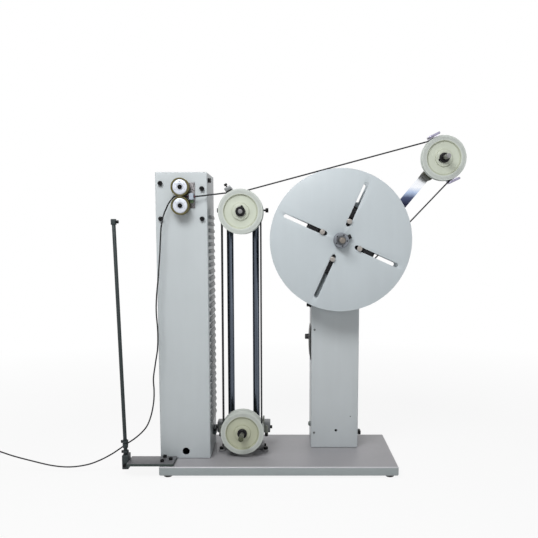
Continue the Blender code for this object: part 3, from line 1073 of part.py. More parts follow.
def build_arm():
    front = ARM_Y - ARM_THICKNESS / 2
    rear = ARM_Y + ARM_THICKNESS / 2
    half = ARM_WIDTH / 2
    bar = block("dancer_arm", (0, front, -half), (ARM_LENGTH + END_BLOCK_OVERRUN, rear, half), CHROME)
    fuse(bar, rod("arm_eye", ARM_EYE_RADIUS, front, rear))
    cut(bar, rod("eye_bore", ARM_PIVOT_RADIUS + RUN_GAP, front - CUT_OVERRUN, rear + CUT_OVERRUN),
        rod("tip_bore", AXLE_RADIUS + SEAT_GAP, front - CUT_OVERRUN, rear + CUT_OVERRUN, origin=(ARM_LENGTH, 0, 0)))
    arm_frame(bar)
    turned("arm_pivot_stud", [(0, front - RUN_GAP - ARM_PIVOT_HEAD), (ARM_PIVOT_HEAD_RADIUS, front - RUN_GAP - ARM_PIVOT_HEAD),
                              (ARM_PIVOT_HEAD_RADIUS, front - RUN_GAP), (ARM_PIVOT_RADIUS, front - RUN_GAP),
                              (ARM_PIVOT_RADIUS, rear + RUN_GAP), (ARM_PIVOT_HEAD_RADIUS, rear + RUN_GAP),
                              (ARM_PIVOT_HEAD_RADIUS, COLUMN_FRONT_Y - SEAT_GAP), (ARM_PIVOT_RADIUS, COLUMN_FRONT_Y - SEAT_GAP),
                              (ARM_PIVOT_RADIUS, COLUMN_FRONT_Y + HOUSING_LENGTH / 2), (0, COLUMN_FRONT_Y + HOUSING_LENGTH / 2)],
           STEEL, (ARM_PIVOT_X, 0, ARM_PIVOT_Z), AXLE_FACETS)
    pulley_rear = ARM_PULLEY_Y + SHEAVE_WIDTH / 2
    guard_front = pulley_rear + RUN_GAP * 4
    guard_rear = guard_front + GUARD_WALL
    block_half = END_BLOCK_WIDTH / 2
    end = block("arm_end_block", (END_BLOCK_START, guard_rear + SEAT_GAP, -block_half),
                (ARM_LENGTH + END_BLOCK_OVERRUN, front - SEAT_GAP, block_half), OLIVE, bevel=PAN_WALL, edges="Y")
    cut(end, rod("block_bore", AXLE_RADIUS + SEAT_GAP, guard_rear - CUT_OVERRUN, front + CUT_OVERRUN,
                 origin=(ARM_LENGTH, 0, 0)))
    arm_frame(end)
    build_sheave("arm_pulley", ARM_TIP.x, ARM_PULLEY_Y, ARM_TIP.z, ARM_PULLEY_RADIUS)
    collar_rear = ARM_PULLEY_Y - SHEAVE_WIDTH / 2 - RUN_GAP
    collar_front = collar_rear - AXLE_COLLAR_LENGTH
    axle_front = collar_front - ARM_AXLE_PROUD
    turned("pulley_axle", [(0, rear), (AXLE_RADIUS, rear), (AXLE_RADIUS, collar_rear), (AXLE_COLLAR_RADIUS, collar_rear),
                           (AXLE_COLLAR_RADIUS, collar_front), (AXLE_RADIUS, collar_front),
                           (AXLE_RADIUS, axle_front + SHEAVE_CHAMFER), (AXLE_RADIUS - SHEAVE_CHAMFER, axle_front),
                           (0, axle_front)], STEEL, (ARM_TIP.x, 0, ARM_TIP.z), AXLE_FACETS)
    build_guard(guard_front, guard_rear)


def build_guard(strap_front, strap_rear):
    """Chromed strap behind the arm pulley whose ends bend forward over the rim."""
    reach = ARM_PULLEY_RADIUS + GUARD_CLEARANCE
    half = GUARD_WIDTH / 2
    strap = block("wire_guard", (-reach - GUARD_WALL, strap_front, -half), (reach + GUARD_WALL, strap_rear, half), CHROME)
    lips = []
    for side in (-1, 1):
        near = side * reach
        far = side * (reach + GUARD_WALL)
        lips.append(block("lip", (min(near, far), strap_rear - GUARD_WALL - GUARD_LIP, -half),
                          (max(near, far), strap_rear - GUARD_WALL / 2, half)))
    fuse(strap, *lips)
    cut(strap, rod("guard_bore", AXLE_RADIUS + SEAT_GAP, strap_front - CUT_OVERRUN, strap_rear + CUT_OVERRUN))
    turn_mesh(strap, Matrix.Rotation(-GUARD_ANGLE, 4, "Y"))
    strap.location = (ARM_TIP.x, 0, ARM_TIP.z)


def tangent(first, first_radius, second, second_radius, side):
    """Angles at which a straight wire leaves one wheel and meets another, on the same side of both."""
    gap = Vector(second) - Vector(first)
    heading = math.atan2(gap.y, gap.x)
    lean = math.asin((first_radius - second_radius) / gap.length)
    return heading + side * (math.pi / 2 - lean)


def build_wire():
    reel = (REEL_X, REEL_Z)
    tip = (ARM_TIP.x, ARM_TIP.z)
    acc_top = (ACC_X, UPPER_AXIS_Z)
    acc_low = (ACC_X, LOWER_AXIS_Z)
    leave = tangent(reel, COIL_RADIUS, tip, ARM_RUN_RADIUS, -1)
    coil_front_y = FRONT_DISC_Y + DISC_WALL + WIRE_RADIUS + SEAT_GAP * 2
    turns = []
    total = COIL_LOOPS * COIL_POINTS_PER_LOOP
    for step in range(total + 1):
        share = step / total
        angle = leave - math.tau * COIL_LOOPS * (1 - share)
        turns.append(Vector((REEL_X + COIL_RADIUS * math.cos(angle), coil_front_y + COIL_PITCH * COIL_LOOPS * (1 - share),
                             REEL_Z + COIL_RADIUS * math.sin(angle))))
    heading = Vector((-math.sin(leave), 0, math.cos(leave)))
    turns.append(turns[-1] + heading * WIRE_RADIUS * 2)
    least = min((one - other).length for number, one in enumerate(turns)
                for other in turns[number + COIL_POINTS_PER_LOOP // 2:number + 2 * COIL_POINTS_PER_LOOP])
    print("least gap between coil turns, mm:", round((least - 2 * WIRE_RADIUS) * 1000, 2))
    outer = wire_tube("wire_coil", turns, WIRE, resolution=1)
    turn_mesh(outer, Matrix.Translation((-REEL_X, 0, -REEL_Z)))
    outer.location = (REEL_X, 0, REEL_Z)
    core_inner = PIN_CIRCLE + PIN_FLANGE_RADIUS + WIRE_RADIUS
    core_outer = (COIL_RADIUS - WIRE_RADIUS - SEAT_GAP * 2) * math.cos(math.pi / COIL_POINTS_PER_LOOP)
    core_front = FRONT_DISC_Y + DISC_WALL + SEAT_GAP
    core_rear = REAR_DISC_Y - SEAT_GAP
    turned("coil_core", [(core_inner, core_front), (core_outer, core_front), (core_outer, core_rear),
                         (core_inner, core_rear)], WIRE, (REEL_X, 0, REEL_Z), FINE_FACETS + SMALL_FACETS)

    end_gap = heading * SEAT_GAP
    span_start = turns[-1] + end_gap
    arrive = leave
    depart = tangent(tip, ARM_RUN_RADIUS, acc_top, WIRE_RUN_RADIUS, -1) + math.tau
    wrap = arc(tip, ARM_RUN_RADIUS, arrive, depart, ARM_PULLEY_Y)
    top_rear = arc(acc_top, WIRE_RUN_RADIUS, depart, math.pi, UPPER_PLANES[2])
    wire_tube("arm_wire", [span_start] + wrap + top_rear, WIRE)

    left, right = ACC_X - WIRE_RUN_RADIUS, ACC_X + WIRE_RUN_RADIUS
    runs = []
    for index, x in enumerate((left, right, left, right)):
        top_y = UPPER_PLANES[2 - (index + 1) // 2]
        low_y = LOWER_PLANES[1 - index // 2]
        runs.append((Vector((x, top_y, UPPER_AXIS_Z)), Vector((x, low_y, LOWER_AXIS_Z))))
    for number, (top, low) in enumerate(runs, 1):
        slope = (low - top).normalized()
        wire_tube("reeving_wire_" + str(number), [top + slope * SEAT_GAP * 2, low - slope * SEAT_GAP * 2], WIRE)
    for name, plane in zip(("front", "rear"), LOWER_PLANES):
        wire_tube("carriage_wire_" + name, arc(acc_low, WIRE_RUN_RADIUS, math.pi, math.tau, plane), WIRE)
    wire_tube("upper_wire", arc(acc_top, WIRE_RUN_RADIUS, 0, math.pi, UPPER_PLANES[1]), WIRE)
    guide_in = Vector((GUIDE_X + GUIDE_WIDTH, NIP_Y, NIP_Z))
    guide_out = Vector((GUIDE_X - GUIDE_WIDTH, NIP_Y, NIP_Z))
    nip_out = Vector((ROLLER_X - WIRE_RADIUS * 2, NIP_Y, NIP_Z))
    last_arc = arc(acc_top, WIRE_RUN_RADIUS, 0, EXIT_ANGLE, UPPER_PLANES[0])
    wire_tube("feed_wire", last_arc + [guide_in, guide_out, nip_out], WIRE)
    tail = [nip_out - Vector((SEAT_GAP, 0, 0))]
    tail += [Vector((BASE_LEFT_X + x, BASE_FRONT_Y + y, z)) for x, y, z in TAIL_ROUTE]
    wire_tube("tail_wire", smooth_points(tail, 2), WIRE)


clear_scene()
build_base()
build_tower()
build_feed_drive()
build_post()
build_accumulator()
build_carriage()
build_column()
build_reel()
build_arm()
build_wire()
for item in bpy.data.objects:
    item.hide_render = False
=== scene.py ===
import math
import bpy
from mathutils import Matrix, Vector


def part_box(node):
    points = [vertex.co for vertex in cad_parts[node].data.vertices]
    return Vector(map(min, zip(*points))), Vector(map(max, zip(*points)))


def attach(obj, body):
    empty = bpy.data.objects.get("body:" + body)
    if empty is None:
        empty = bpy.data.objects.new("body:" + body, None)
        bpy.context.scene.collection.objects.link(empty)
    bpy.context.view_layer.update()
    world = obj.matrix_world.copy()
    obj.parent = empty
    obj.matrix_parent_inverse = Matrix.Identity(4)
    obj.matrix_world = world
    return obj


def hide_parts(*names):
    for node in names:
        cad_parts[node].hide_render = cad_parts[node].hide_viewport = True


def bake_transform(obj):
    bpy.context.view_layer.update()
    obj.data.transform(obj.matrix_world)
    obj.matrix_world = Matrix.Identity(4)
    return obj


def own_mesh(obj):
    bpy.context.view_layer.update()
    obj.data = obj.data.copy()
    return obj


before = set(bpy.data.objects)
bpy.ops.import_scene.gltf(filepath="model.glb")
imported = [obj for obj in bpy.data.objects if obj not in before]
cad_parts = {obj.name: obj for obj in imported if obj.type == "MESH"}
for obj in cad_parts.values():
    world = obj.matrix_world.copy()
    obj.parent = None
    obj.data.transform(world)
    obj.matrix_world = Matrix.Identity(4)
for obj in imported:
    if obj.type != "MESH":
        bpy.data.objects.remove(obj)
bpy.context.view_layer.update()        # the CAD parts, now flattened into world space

print("stage: frame loaded")

# Camera at the photograph's viewing angle
cameraView = {"place": (-0.0154, -2.1392, 0.6665), "pitchDown": 6.8, "lens": 48.85, "shift": (-0.0297, 0.104)}
bpy.ops.object.select_all(action="DESELECT")
bpy.ops.object.camera_add(location=cameraView["place"], rotation=(math.radians(90 - cameraView["pitchDown"]), 0, 0))
photoCamera = bpy.context.object
photoCamera.name = "photoCamera"
photoCamera.data.lens = cameraView["lens"]
photoCamera.data.shift_x, photoCamera.data.shift_y = cameraView["shift"]
bpy.context.scene.camera = photoCamera


# Shader maths: a socket in a Python expression adds its Math nodes
class Socket:
    def __init__(self, maker, link):
        self.maker, self.link = maker, link

    def maths(self, operation, other=None, swapped=False):
        pair = [self] if other is None else ([other, self] if swapped else [self, other])
        return self.maker.add("Math", {"operation": operation}, dict(enumerate(pair)))

    def __add__(self, other):
        return self.maths("ADD", other)

    def __sub__(self, other):
        return self.maths("SUBTRACT", other)

    def __rsub__(self, other):
        return self.maths("SUBTRACT", other, True)

    def __mul__(self, other):
        return self.maths("MULTIPLY", other)

    def __truediv__(self, other):
        return self.maths("DIVIDE", other)

    def __gt__(self, other):
        return self.maths("GREATER_THAN", other)

    def __lt__(self, other):
        return self.maths("LESS_THAN", other)

    __radd__ = __add__
    __rmul__ = __mul__

    def limit(self):
        return self.maker.add("Clamp", {}, {"Value": self})


# Every node of a material or the world is added here: type, settings, then values or links
class NodeTree:
    def __init__(self, tree):
        self.tree = tree

    def add(self, kind, settings, inputs, output=0):
        node = self.tree.nodes.new("ShaderNode" + kind)
        for key, value in settings.items():
            if key == "stops":
                ramp = node.color_ramp
                while len(ramp.elements) < len(value):
                    ramp.elements.new(0.5)
                for element, (position, tone) in zip(ramp.elements, value):
                    element.position = position
                    element.color = (*tone, 1) if isinstance(tone, tuple) else (tone, tone, tone, 1)
            else:
                setattr(node, key, value)
        for key, value in inputs.items():
            self.feed(node.inputs[key], value)
        return Socket(self, node.outputs[output])

    def feed(self, socket, value):
        if isinstance(value, Socket):
            self.tree.links.new(value.link, socket)
        elif isinstance(value, tuple) and len(value) == 3 and socket.type == "RGBA":
            socket.default_value = (*value, 1)
        else:
            socket.default_value = value

    def mix(self, factor, first, second):                   # sockets 6 and 7 are a Mix node's colours
        return self.add("Mix", {"data_type": "RGBA"}, {0: factor, 6: first, 7: second}, 2)

    def ramp(self, factor, *stops):
        return self.add("ValToRGB", {"stops": stops}, {"Fac": factor}, "Color")

    def seenDirectly(self):                                 # 1 to the camera, to metal and through glass
        rays = [self.add("LightPath", {}, {}, "Is " + kind + " Ray") for kind in ("Camera", "Glossy", "Transmission")]
        return rays[0].maths("MAXIMUM", rays[1]).maths("MAXIMUM", rays[2])


class Finish(NodeTree):
    def __init__(self, name, colour, roughness=0.5, metallic=0.0, coat=0.0, specular=0.5):
        self.material = bpy.data.materials.new(name)
        self.material.use_nodes = True
        super().__init__(self.material.node_tree)
        self.shader = self.tree.nodes["Principled BSDF"]
        for key, value in (("Base Color", colour), ("Roughness", roughness), ("Metallic", metallic),
                           ("Coat Weight", coat), ("Coat Roughness", 0.15), ("Specular IOR Level", specular)):
            self.feed(self.shader.inputs[key], value)
        self.place = self.add("TexCoord", {}, {}, "Object")

    def noise(self, scale, detail=3.0, roughness=0.55, vector=None):
        return self.add("TexNoise", {}, {"Vector": vector or self.place, "Scale": scale, "Detail": detail,
                                         "Roughness": roughness})

    def stretched(self, scale):
        return self.add("Mapping", {}, {"Vector": self.place, "Scale": scale})

    def axisOf(self, vector, letter):
        return self.add("SeparateXYZ", {}, {"Vector": vector}, letter)

    def turning(self):                                      # distance from a turned piece's axis, and along it
        marks = self.add("Attribute", {"attribute_name": "turning"}, {}, "Vector")
        return self.axisOf(marks, "X"), self.axisOf(marks, "Y")

    def toolMarks(self, scale, detail, roughness):          # noise that only changes across and along the turning
        radius, along = self.turning()
        lines = self.add("CombineXYZ", {}, {"X": radius * scale, "Y": along * scale})
        return self.noise(1.0, detail, roughness, vector=lines)

    def upward(self):
        return self.axisOf(self.add("NewGeometry", {}, {}, "Normal"), "Z")

    def height(self):
        return self.axisOf(self.place, "Z")

    def set(self, **values):
        names = {"colour": "Base Color", "roughness": "Roughness", "normal": "Normal"}
        for key, value in values.items():
            self.feed(self.shader.inputs[names[key]], value)
        return self

    def bump(self, *layers):
        normal = None
        for height, strength, distance in layers:
            inputs = {"Height": height, "Strength": strength, "Distance": distance}
            if normal:
                inputs["Normal"] = normal
            normal = self.add("Bump", {}, inputs, "Normal")
        return self.set(normal=normal)


def shade(colour, factor):
    return tuple(min(1.0, channel * factor) for channel in colour)


# Painted sheet: powder coat with a fine orange peel, faint handling marks and dust near the floor; where a level colour
# is given, a separate tone on upward faces and a painted highlight along the folds
def paintedSheet(name, colour, roughness, peel, grime, dustTop, level=None):
    paint = Finish(name, colour, roughness, coat=0.12)
    cloud = paint.noise(7.0, 5.0)
    streak = paint.noise(1.0, 4.0, vector=paint.stretched((38.0, 38.0, 3.0)))
    fleck = paint.noise(2600.0, 1.0)
    tone = paint.ramp(cloud * 0.6 + streak * 0.4, (0.30, shade(colour, 0.955)), (0.70, shade(colour, 1.03)))
    tone = paint.mix(fleck * 0.10, tone, shade(colour, 0.82))
    if level:                                              # a separate tone on the upward faces, and a painted highlight along the folds
        upwardTone = paint.ramp(cloud, (0.3, shade(level, 0.93)), (0.7, shade(level, 1.06)))
        tone = paint.mix((paint.upward() - 0.80) * 6.0, tone, upwardTone)
        fold = (paint.upward() > 0.22) * (paint.upward() < 0.94)
        tone = paint.mix(fold * 0.85, tone, shade(level, 1.75))
    dust = paint.ramp(paint.height(), (0.0, 1.0), (dustTop, 0.0))
    tone = paint.mix(dust * paint.noise(26.0, 4.0) * grime, tone, shade(colour, 0.62))
    paint.set(colour=tone, roughness=paint.noise(55.0, 3.0) * 0.16 + (roughness - 0.08))
    return paint.bump((paint.noise(780.0, 2.0), peel, 0.0004), (paint.noise(3.0, 1.0), 0.05, 0.004))


# Machined metal: tool marks that run round a turned piece
def turnedMetal(name, colour, roughness, marks):
    metal = Finish(name, colour, roughness, metallic=1.0)
    cut = metal.toolMarks(2600.0, 4.0, 0.7)
    tone = metal.ramp(cut, (0.25, shade(colour, 0.80)), (0.75, shade(colour, 1.08)))
    smudge = metal.noise(90.0, 4.0)
    metal.set(colour=tone, roughness=(cut * 0.18 + smudge * 0.16) + (roughness - 0.15))
    return metal.bump((cut, marks, 0.00012))


# Plain steel: ground or oxidised, with smudges and worn edges
def plainSteel(name, colour, roughness, metallic, grain, wear=0.0, worn=(0.3, 0.3, 0.3), specular=0.5):
    metal = Finish(name, colour, roughness, metallic, specular=specular)
    brushed = metal.noise(1.0, 3.0, vector=metal.stretched((60.0, 60.0, 900.0)))
    patch = metal.noise(48.0, 5.0, 0.65)
    tone = metal.ramp(patch * 0.55 + brushed * 0.45, (0.28, shade(colour, 0.72)), (0.74, shade(colour, 1.22)))
    if wear:
        rub = (metal.noise(210.0, 6.0, 0.75) - 0.56) * 9.0
        tone = metal.mix(rub.limit() * wear, tone, worn)
    metal.set(colour=tone, roughness=(patch * 0.22 + brushed * 0.12) + (roughness - 0.17))
    return metal.bump((brushed, grain, 0.00015), (metal.noise(420.0, 2.0), grain * 0.6, 0.0002))


# Turned cream nylon: darker and yellower low down, which is painted shade, with painted shade rings in its corners and
# a rubbed rim
def turnedNylon():
    colour = (0.605, 0.648, 0.545)
    paintedLowShade = {"colour": (0.47, 0.485, 0.345), "full": 0.10, "none": 0.45}
    rimScale, rimColour, rubColour = 16.0, (0.560, 0.600, 0.575), (0.20, 0.20, 0.18)
    paintedShadeRings = ((0.0436, 0.0480, 0.42), (0.0226, 0.0254, 0.34))
    nylon = Finish("creamNylon", colour, 0.42, coat=0.10, specular=0.45)
    radius, along = nylon.turning()
    cut = nylon.toolMarks(1500.0, 3.0, 0.6)
    cloud = nylon.noise(34.0, 4.0)
    tone = nylon.ramp(cut * 0.35 + cloud * 0.65, (0.30, shade(colour, 0.93)), (0.72, shade(colour, 1.05)))
    # painted shade: darker and yellower towards the bottom
    low = nylon.ramp(nylon.height(), (paintedLowShade["full"], 1.0), (paintedLowShade["none"], 0.0))
    tone = nylon.mix(low * 0.80, tone, paintedLowShade["colour"])
    rim = nylon.ramp(radius * rimScale, (0.760, 0.0), (0.800, 1.0))
    tone = nylon.mix(rim * 0.85, tone, rimColour)
    # painted shade in the recess corner and at the boss step
    for start, end, depth in paintedShadeRings:
        ring = (radius > start) * (radius < end)
        tone = nylon.mix(ring * (cloud * 0.5 + 0.6) * depth, tone, (0.30, 0.315, 0.205))
    rubbed = ((radius * rimScale) > 0.83) * ((radius * rimScale) < 0.93)
    tone = nylon.mix(rubbed * nylon.noise(160.0, 4.0) * 0.30, tone, rubColour)
    nylon.set(colour=tone, roughness=cut * 0.14 + cloud * 0.14 + 0.32)
    return nylon.bump((cut, 0.22, 0.0001), (nylon.noise(900.0, 2.0), 0.08, 0.0001))


def wireJacket(name, colour, roughness):
    jacket = Finish(name, colour, roughness, specular=0.28)
    patch = jacket.noise(130.0, 4.0)
    tone = jacket.ramp(patch, (0.30, shade(colour, 0.65)), (0.75, shade(colour, 1.7)))
    jacket.set(colour=tone, roughness=patch * 0.22 + (roughness - 0.11))
    return jacket.bump((jacket.noise(1500.0, 2.0), 0.15, 0.0001))


def mouldedPlastic(name, colour, roughness, grain, scale):
    plastic = Finish(name, colour, roughness)
    patch = plastic.noise(40.0, 4.0)
    tone = plastic.ramp(patch, (0.3, shade(colour, 0.8)), (0.75, shade(colour, 1.25)))
    plastic.set(colour=tone, roughness=patch * 0.18 + (roughness - 0.09))
    return plastic.bump((plastic.noise(scale, 2.0), grain, 0.0003))


# Plated sheet with the spangle of hot zinc
def zincSheet():
    dark, bright = (0.045, 0.045, 0.046), (0.29, 0.275, 0.285)
    zinc = Finish("zincSheet", (0.30, 0.29, 0.30), 0.42, metallic=0.6)
    cell = zinc.add("TexVoronoi", {}, {"Vector": zinc.place, "Scale": 420.0}, "Color")
    spot = zinc.axisOf(cell, "X") * 0.6 + zinc.noise(600.0, 3.0) * 0.4
    zinc.set(colour=zinc.ramp(spot, (0.25, dark), (0.75, bright)), roughness=spot * 0.3 + 0.3)
    return zinc.bump((spot, 0.3, 0.0002))


# Bright plate with a painted reflection: dark blue low down, white higher up
def armPlate():
    paintedReflection = ((0.24, (0.020, 0.022, 0.045)), (0.42, (0.075, 0.092, 0.165)), (0.54, (0.46, 0.56, 0.76)),
              (0.66, (0.93, 0.95, 0.99)))
    plate = Finish("armPlate", (0.72, 0.74, 0.78), 0.16, metallic=1.0)
    brushed = plate.noise(1.0, 3.0, vector=plate.stretched((500.0, 60.0, 500.0)))
    cloud = plate.noise(30.0, 3.0)
    level = plate.height() + cloud * 0.014
    # the colour ramp over height is a painted reflection
    plate.set(colour=plate.ramp(level * 8.0 - 5.9, *paintedReflection), roughness=brushed * 0.08 + cloud * 0.06 + 0.10)
    return plate.bump((brushed, 0.03, 0.0001))


# The record's finishes, by slot
finishes = {
    "grey_paint": paintedSheet("greyPaint", (0.555, 0.600, 0.618), 0.44, 0.10, 0.18, 0.20),
    "disc_grey": paintedSheet("discGrey", (0.563, 0.620, 0.650), 0.40, 0.07, 0.0, 0.10),
    "base_paint": paintedSheet("basePaint", (0.345, 0.382, 0.388), 0.48, 0.14, 0.0, 0.06, (0.372, 0.366, 0.384)),
    "dark_steel": plainSteel("darkSteel", (0.022, 0.032, 0.033), 0.48, 0.25, 0.35, 0.25, (0.11, 0.12, 0.12)),
    "black_plastic": mouldedPlastic("blackPlastic", (0.013, 0.013, 0.014), 0.42, 0.25, 900.0),
    "bright_steel": turnedMetal("brightSteel", (0.44, 0.44, 0.45), 0.30, 0.25),
    "chromed_steel": plainSteel("chromedSteel", (0.60, 0.62, 0.66), 0.22, 1.0, 0.04),
    "nylon": turnedNylon(),
    "turned_aluminium": turnedMetal("turnedAluminium", (0.63, 0.66, 0.73), 0.34, 0.55),
    "roller_tyre": mouldedPlastic("oliveTyre", (0.088, 0.074, 0.014), 0.36, 0.18, 700.0),
    "bronze": plainSteel("bushBronze", (0.36, 0.24, 0.11), 0.38, 1.0, 0.2),
    "grey_block": plainSteel("bracketGrey", (0.150, 0.160, 0.165), 0.42, 0.55, 0.30, 0.35, (0.30, 0.31, 0.32)),
    "olive_block": plainSteel("endBlockOlive", (0.036, 0.037, 0.019), 0.62, 0.0, 0.35, 0.25, (0.13, 0.13, 0.10)),
    "white_ceramic": mouldedPlastic("whiteCeramic", (0.38, 0.43, 0.51), 0.24, 0.05, 500.0),
    "motor_casing": mouldedPlastic("motorCasing", (0.050, 0.050, 0.054), 0.55, 0.45, 520.0),
    "wire_jacket": wireJacket("wireJacket", (0.010, 0.010, 0.012), 0.50),
}
# Finishes of single pieces, where the photograph shows them apart from the slot's own
blackOxide = plainSteel("blackOxide", (0.006, 0.006, 0.007), 0.42, 0.3, 0.2, 0.20, (0.07, 0.07, 0.07), specular=0.25)
rodChrome = turnedMetal("rodChrome", (0.100, 0.118, 0.148), 0.20, 0.05)
axleSteel = turnedMetal("axleSteel", (0.25, 0.25, 0.255), 0.30, 0.3)
clampSteel = turnedMetal("clampSteel", (0.215, 0.230, 0.255), 0.36, 0.35)
shaftSteel = turnedMetal("shaftSteel", (0.205, 0.185, 0.165), 0.40, 0.3)
pinSteel = turnedMetal("pinSteel", (0.34, 0.32, 0.30), 0.34, 0.2)
keeperSteel = plainSteel("keeperSteel", (0.20, 0.21, 0.215), 0.40, 0.6, 0.3, 0.6, (0.42, 0.43, 0.44))
guardChrome = plainSteel("guardChrome", (0.62, 0.60, 0.68), 0.22, 1.0, 0.05)
lipSteel = plainSteel("lipSteel", (0.30, 0.285, 0.38), 0.26, 1.0, 0.2)
tabSteel = plainSteel("tabSteel", (0.215, 0.230, 0.200), 0.46, 0.3, 0.3, 0.4, (0.36, 0.37, 0.34))
footSteel = plainSteel("footSteel", (0.255, 0.258, 0.265), 0.46, 0.2, 0.3, 0.4, (0.36, 0.36, 0.37))
switchGrey = mouldedPlastic("switchGrey", (0.070, 0.092, 0.095), 0.50, 0.3, 600.0)
capOlive = mouldedPlastic("capOlive", (0.050, 0.058, 0.026), 0.42, 0.2, 600.0)
glandGrey = mouldedPlastic("glandGrey", (0.16, 0.19, 0.175), 0.5, 0.25, 600.0)
clipGreen = mouldedPlastic("clipGreen", (0.095, 0.150, 0.070), 0.5, 0.2, 600.0)
columnPaint = paintedSheet("columnPaint", (0.570, 0.612, 0.630), 0.44, 0.10, 0.0, 0.20)
# darker copy of the grey paint for the louvre hoods: painted shade
louvrePaintedShade = paintedSheet("louvrePaintedShade", (0.150, 0.166, 0.171), 0.50, 0.16, 0.2, 0.30)
plateBlack = paintedSheet("plateBlack", (0.016, 0.030, 0.026), 0.50, 0.12, 0.0, 0.10, (0.118, 0.118, 0.126))
footRubber = mouldedPlastic("footRubber", (0.016, 0.016, 0.016), 0.70, 0.5, 600.0)
redSleeve = mouldedPlastic("redSleeve", (0.055, 0.006, 0.014), 0.40, 0.1, 800.0)
zincPlate, armChrome = zincSheet(), armPlate()
print("stage: finishes made")


# Modelling steps
runAxis = {"X": Vector((1, 0, 0)), "Y": Vector((0, 1, 0)), "Z": Vector((0, 0, 1))}
outAxis = {"X": Vector((0, 1, 0)), "Y": Vector((1, 0, 0)), "Z": Vector((1, 0, 0))}
weldReach = 0.000002      # points this close are one


def clearPick():
    if bpy.context.mode != "OBJECT":
        bpy.ops.object.mode_set(mode="OBJECT")
    bpy.ops.object.select_all(action="DESELECT")


def pick(*chosen):
    clearPick()
    for piece in chosen:
        piece.select_set(True)
    bpy.context.view_layer.objects.active = chosen[0]


def editAll(piece):
    pick(piece)
    bpy.ops.object.mode_set(mode="EDIT")
    bpy.ops.mesh.select_mode(type="VERT")
    bpy.ops.mesh.select_all(action="SELECT")


def selectFaces(piece, test):
    bpy.ops.object.mode_set(mode="EDIT")
    bpy.ops.mesh.select_mode(type="FACE")
    bpy.ops.mesh.select_all(action="DESELECT")
    bpy.ops.object.mode_set(mode="OBJECT")
    for face in piece.data.polygons:
        face.select = test(face.center, face.normal)
    bpy.ops.object.mode_set(mode="EDIT")


def applyPlace():
    bpy.ops.object.transform_apply(location=True, rotation=True, scale=True)


def applyStep(piece, kind, **settings):
    step = piece.modifiers.new(kind.lower(), kind)
    for key, value in settings.items():
        setattr(step, key, value)
    pick(piece)
    bpy.ops.object.modifier_apply(modifier=step.name)


def roundEdges(piece, width, segments=2, angle=32):
    applyStep(piece, "BEVEL", width=width, segments=segments, limit_method="ANGLE", angle_limit=math.radians(angle))


def discard(*pieces):
    for piece in pieces:
        bpy.data.objects.remove(piece, do_unlink=True)


def combine(piece, operation, *tools):
    for tool in tools:
        applyStep(piece, "BOOLEAN", operation=operation, solver="EXACT", object=tool)
        discard(tool)


def cutOut(piece, *cutters):
    combine(piece, "DIFFERENCE", *cutters)


def settle(piece, name, slotName, body, finish=None, smooth=30, replaced=()):
    pick(piece)
    applyPlace()
    bpy.ops.object.shade_smooth_by_angle(angle=math.radians(smooth))
    piece.name = piece.data.name = name
    piece.data.materials.clear()
    piece.data.materials.append((finish or finishes[slotName]).material)
    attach(piece, body)
    if replaced:
        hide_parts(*replaced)
    return piece


def copied(piece, shift=(0, 0, 0), turn=None):            # a copy with its own mesh
    twin = piece.copy()
    twin.data = piece.data.copy()
    bpy.context.scene.collection.objects.link(twin)
    twin.data.transform(Matrix.Translation(shift) @ (turn or Matrix.Identity(4)))
    return twin


def around(piece, count, radius, start, axis="Y"):        # the piece itself goes, its copies stand round the circle
    ring = []
    for step in range(count):
        angle = start + math.tau * step / count
        ring.append(copied(piece, (outAxis[axis] * math.cos(angle) + Vector((0, 0, 1)) * math.sin(angle)) * radius))
    discard(piece)
    return ring


def joined(*parts):
    pick(*parts)
    if len(parts) > 1:
        bpy.ops.object.join()
    return bpy.context.object


# A section of (radius, place along) pairs, spun about an axis
def turned(profile, centre=(0, 0, 0), axis="Y", sides=96, edge=0.0004, segments=2):
    clearPick()
    run, out = runAxis[axis], outAxis[axis]
    bpy.ops.mesh.primitive_plane_add(size=0.001, location=centre)
    piece = bpy.context.object
    editAll(piece)
    bpy.ops.mesh.merge(type="CENTER")                      # one point to draw the section from
    bpy.ops.transform.translate(value=out * profile[0][0] + run * profile[0][1])
    for (oldRadius, oldAlong), (radius, along) in zip(profile, profile[1:]):
        bpy.ops.mesh.extrude_region_move(
            TRANSFORM_OT_translate={"value": out * (radius - oldRadius) + run * (along - oldAlong)})
    bpy.ops.mesh.select_all(action="SELECT")
    bpy.ops.mesh.spin(steps=sides, angle=math.tau, center=centre, axis=run)
    bpy.ops.mesh.select_all(action="SELECT")
    bpy.ops.mesh.remove_doubles(threshold=weldReach)
    bpy.ops.mesh.normals_make_consistent(inside=False)
    bpy.ops.object.mode_set(mode="OBJECT")
    applyPlace()
    if edge:
        roundEdges(piece, edge, segments)
    markTurning(piece, centre, run)
    return piece


# Distance from the axis and along it, which the turned finishes read
def markTurning(piece, centre, run):
    attribute = piece.data.attributes.new("turning", "FLOAT_VECTOR", "POINT")
    values = []
    for vertex in piece.data.vertices:
        offset = vertex.co - Vector(centre)
        along = offset.dot(run)
        values.extend(((offset - run * along).length, along, 0.0))
    attribute.data.foreach_set("vector", values)


def rodProfile(radius, start, end):
    return [(0, start), (radius, start), (radius, end), (0, end)]


def ringProfile(bore, radius, start, end):
    return [(bore, start), (radius, start), (radius, end), (bore, end), (bore, start)]


def closed(section):
    return section + [section[0]]


def blocked(low, high, edge=0.001, segments=3):
    clearPick()
    low, high = Vector(low), Vector(high)
    bpy.ops.mesh.primitive_cube_add(size=1, location=(low + high) / 2, scale=high - low)
    piece = bpy.context.object
    applyPlace()
    if edge:
        editAll(piece)
        bpy.ops.mesh.bevel(offset=edge, segments=segments, affect="EDGES")
        bpy.ops.object.mode_set(mode="OBJECT")
    return piece


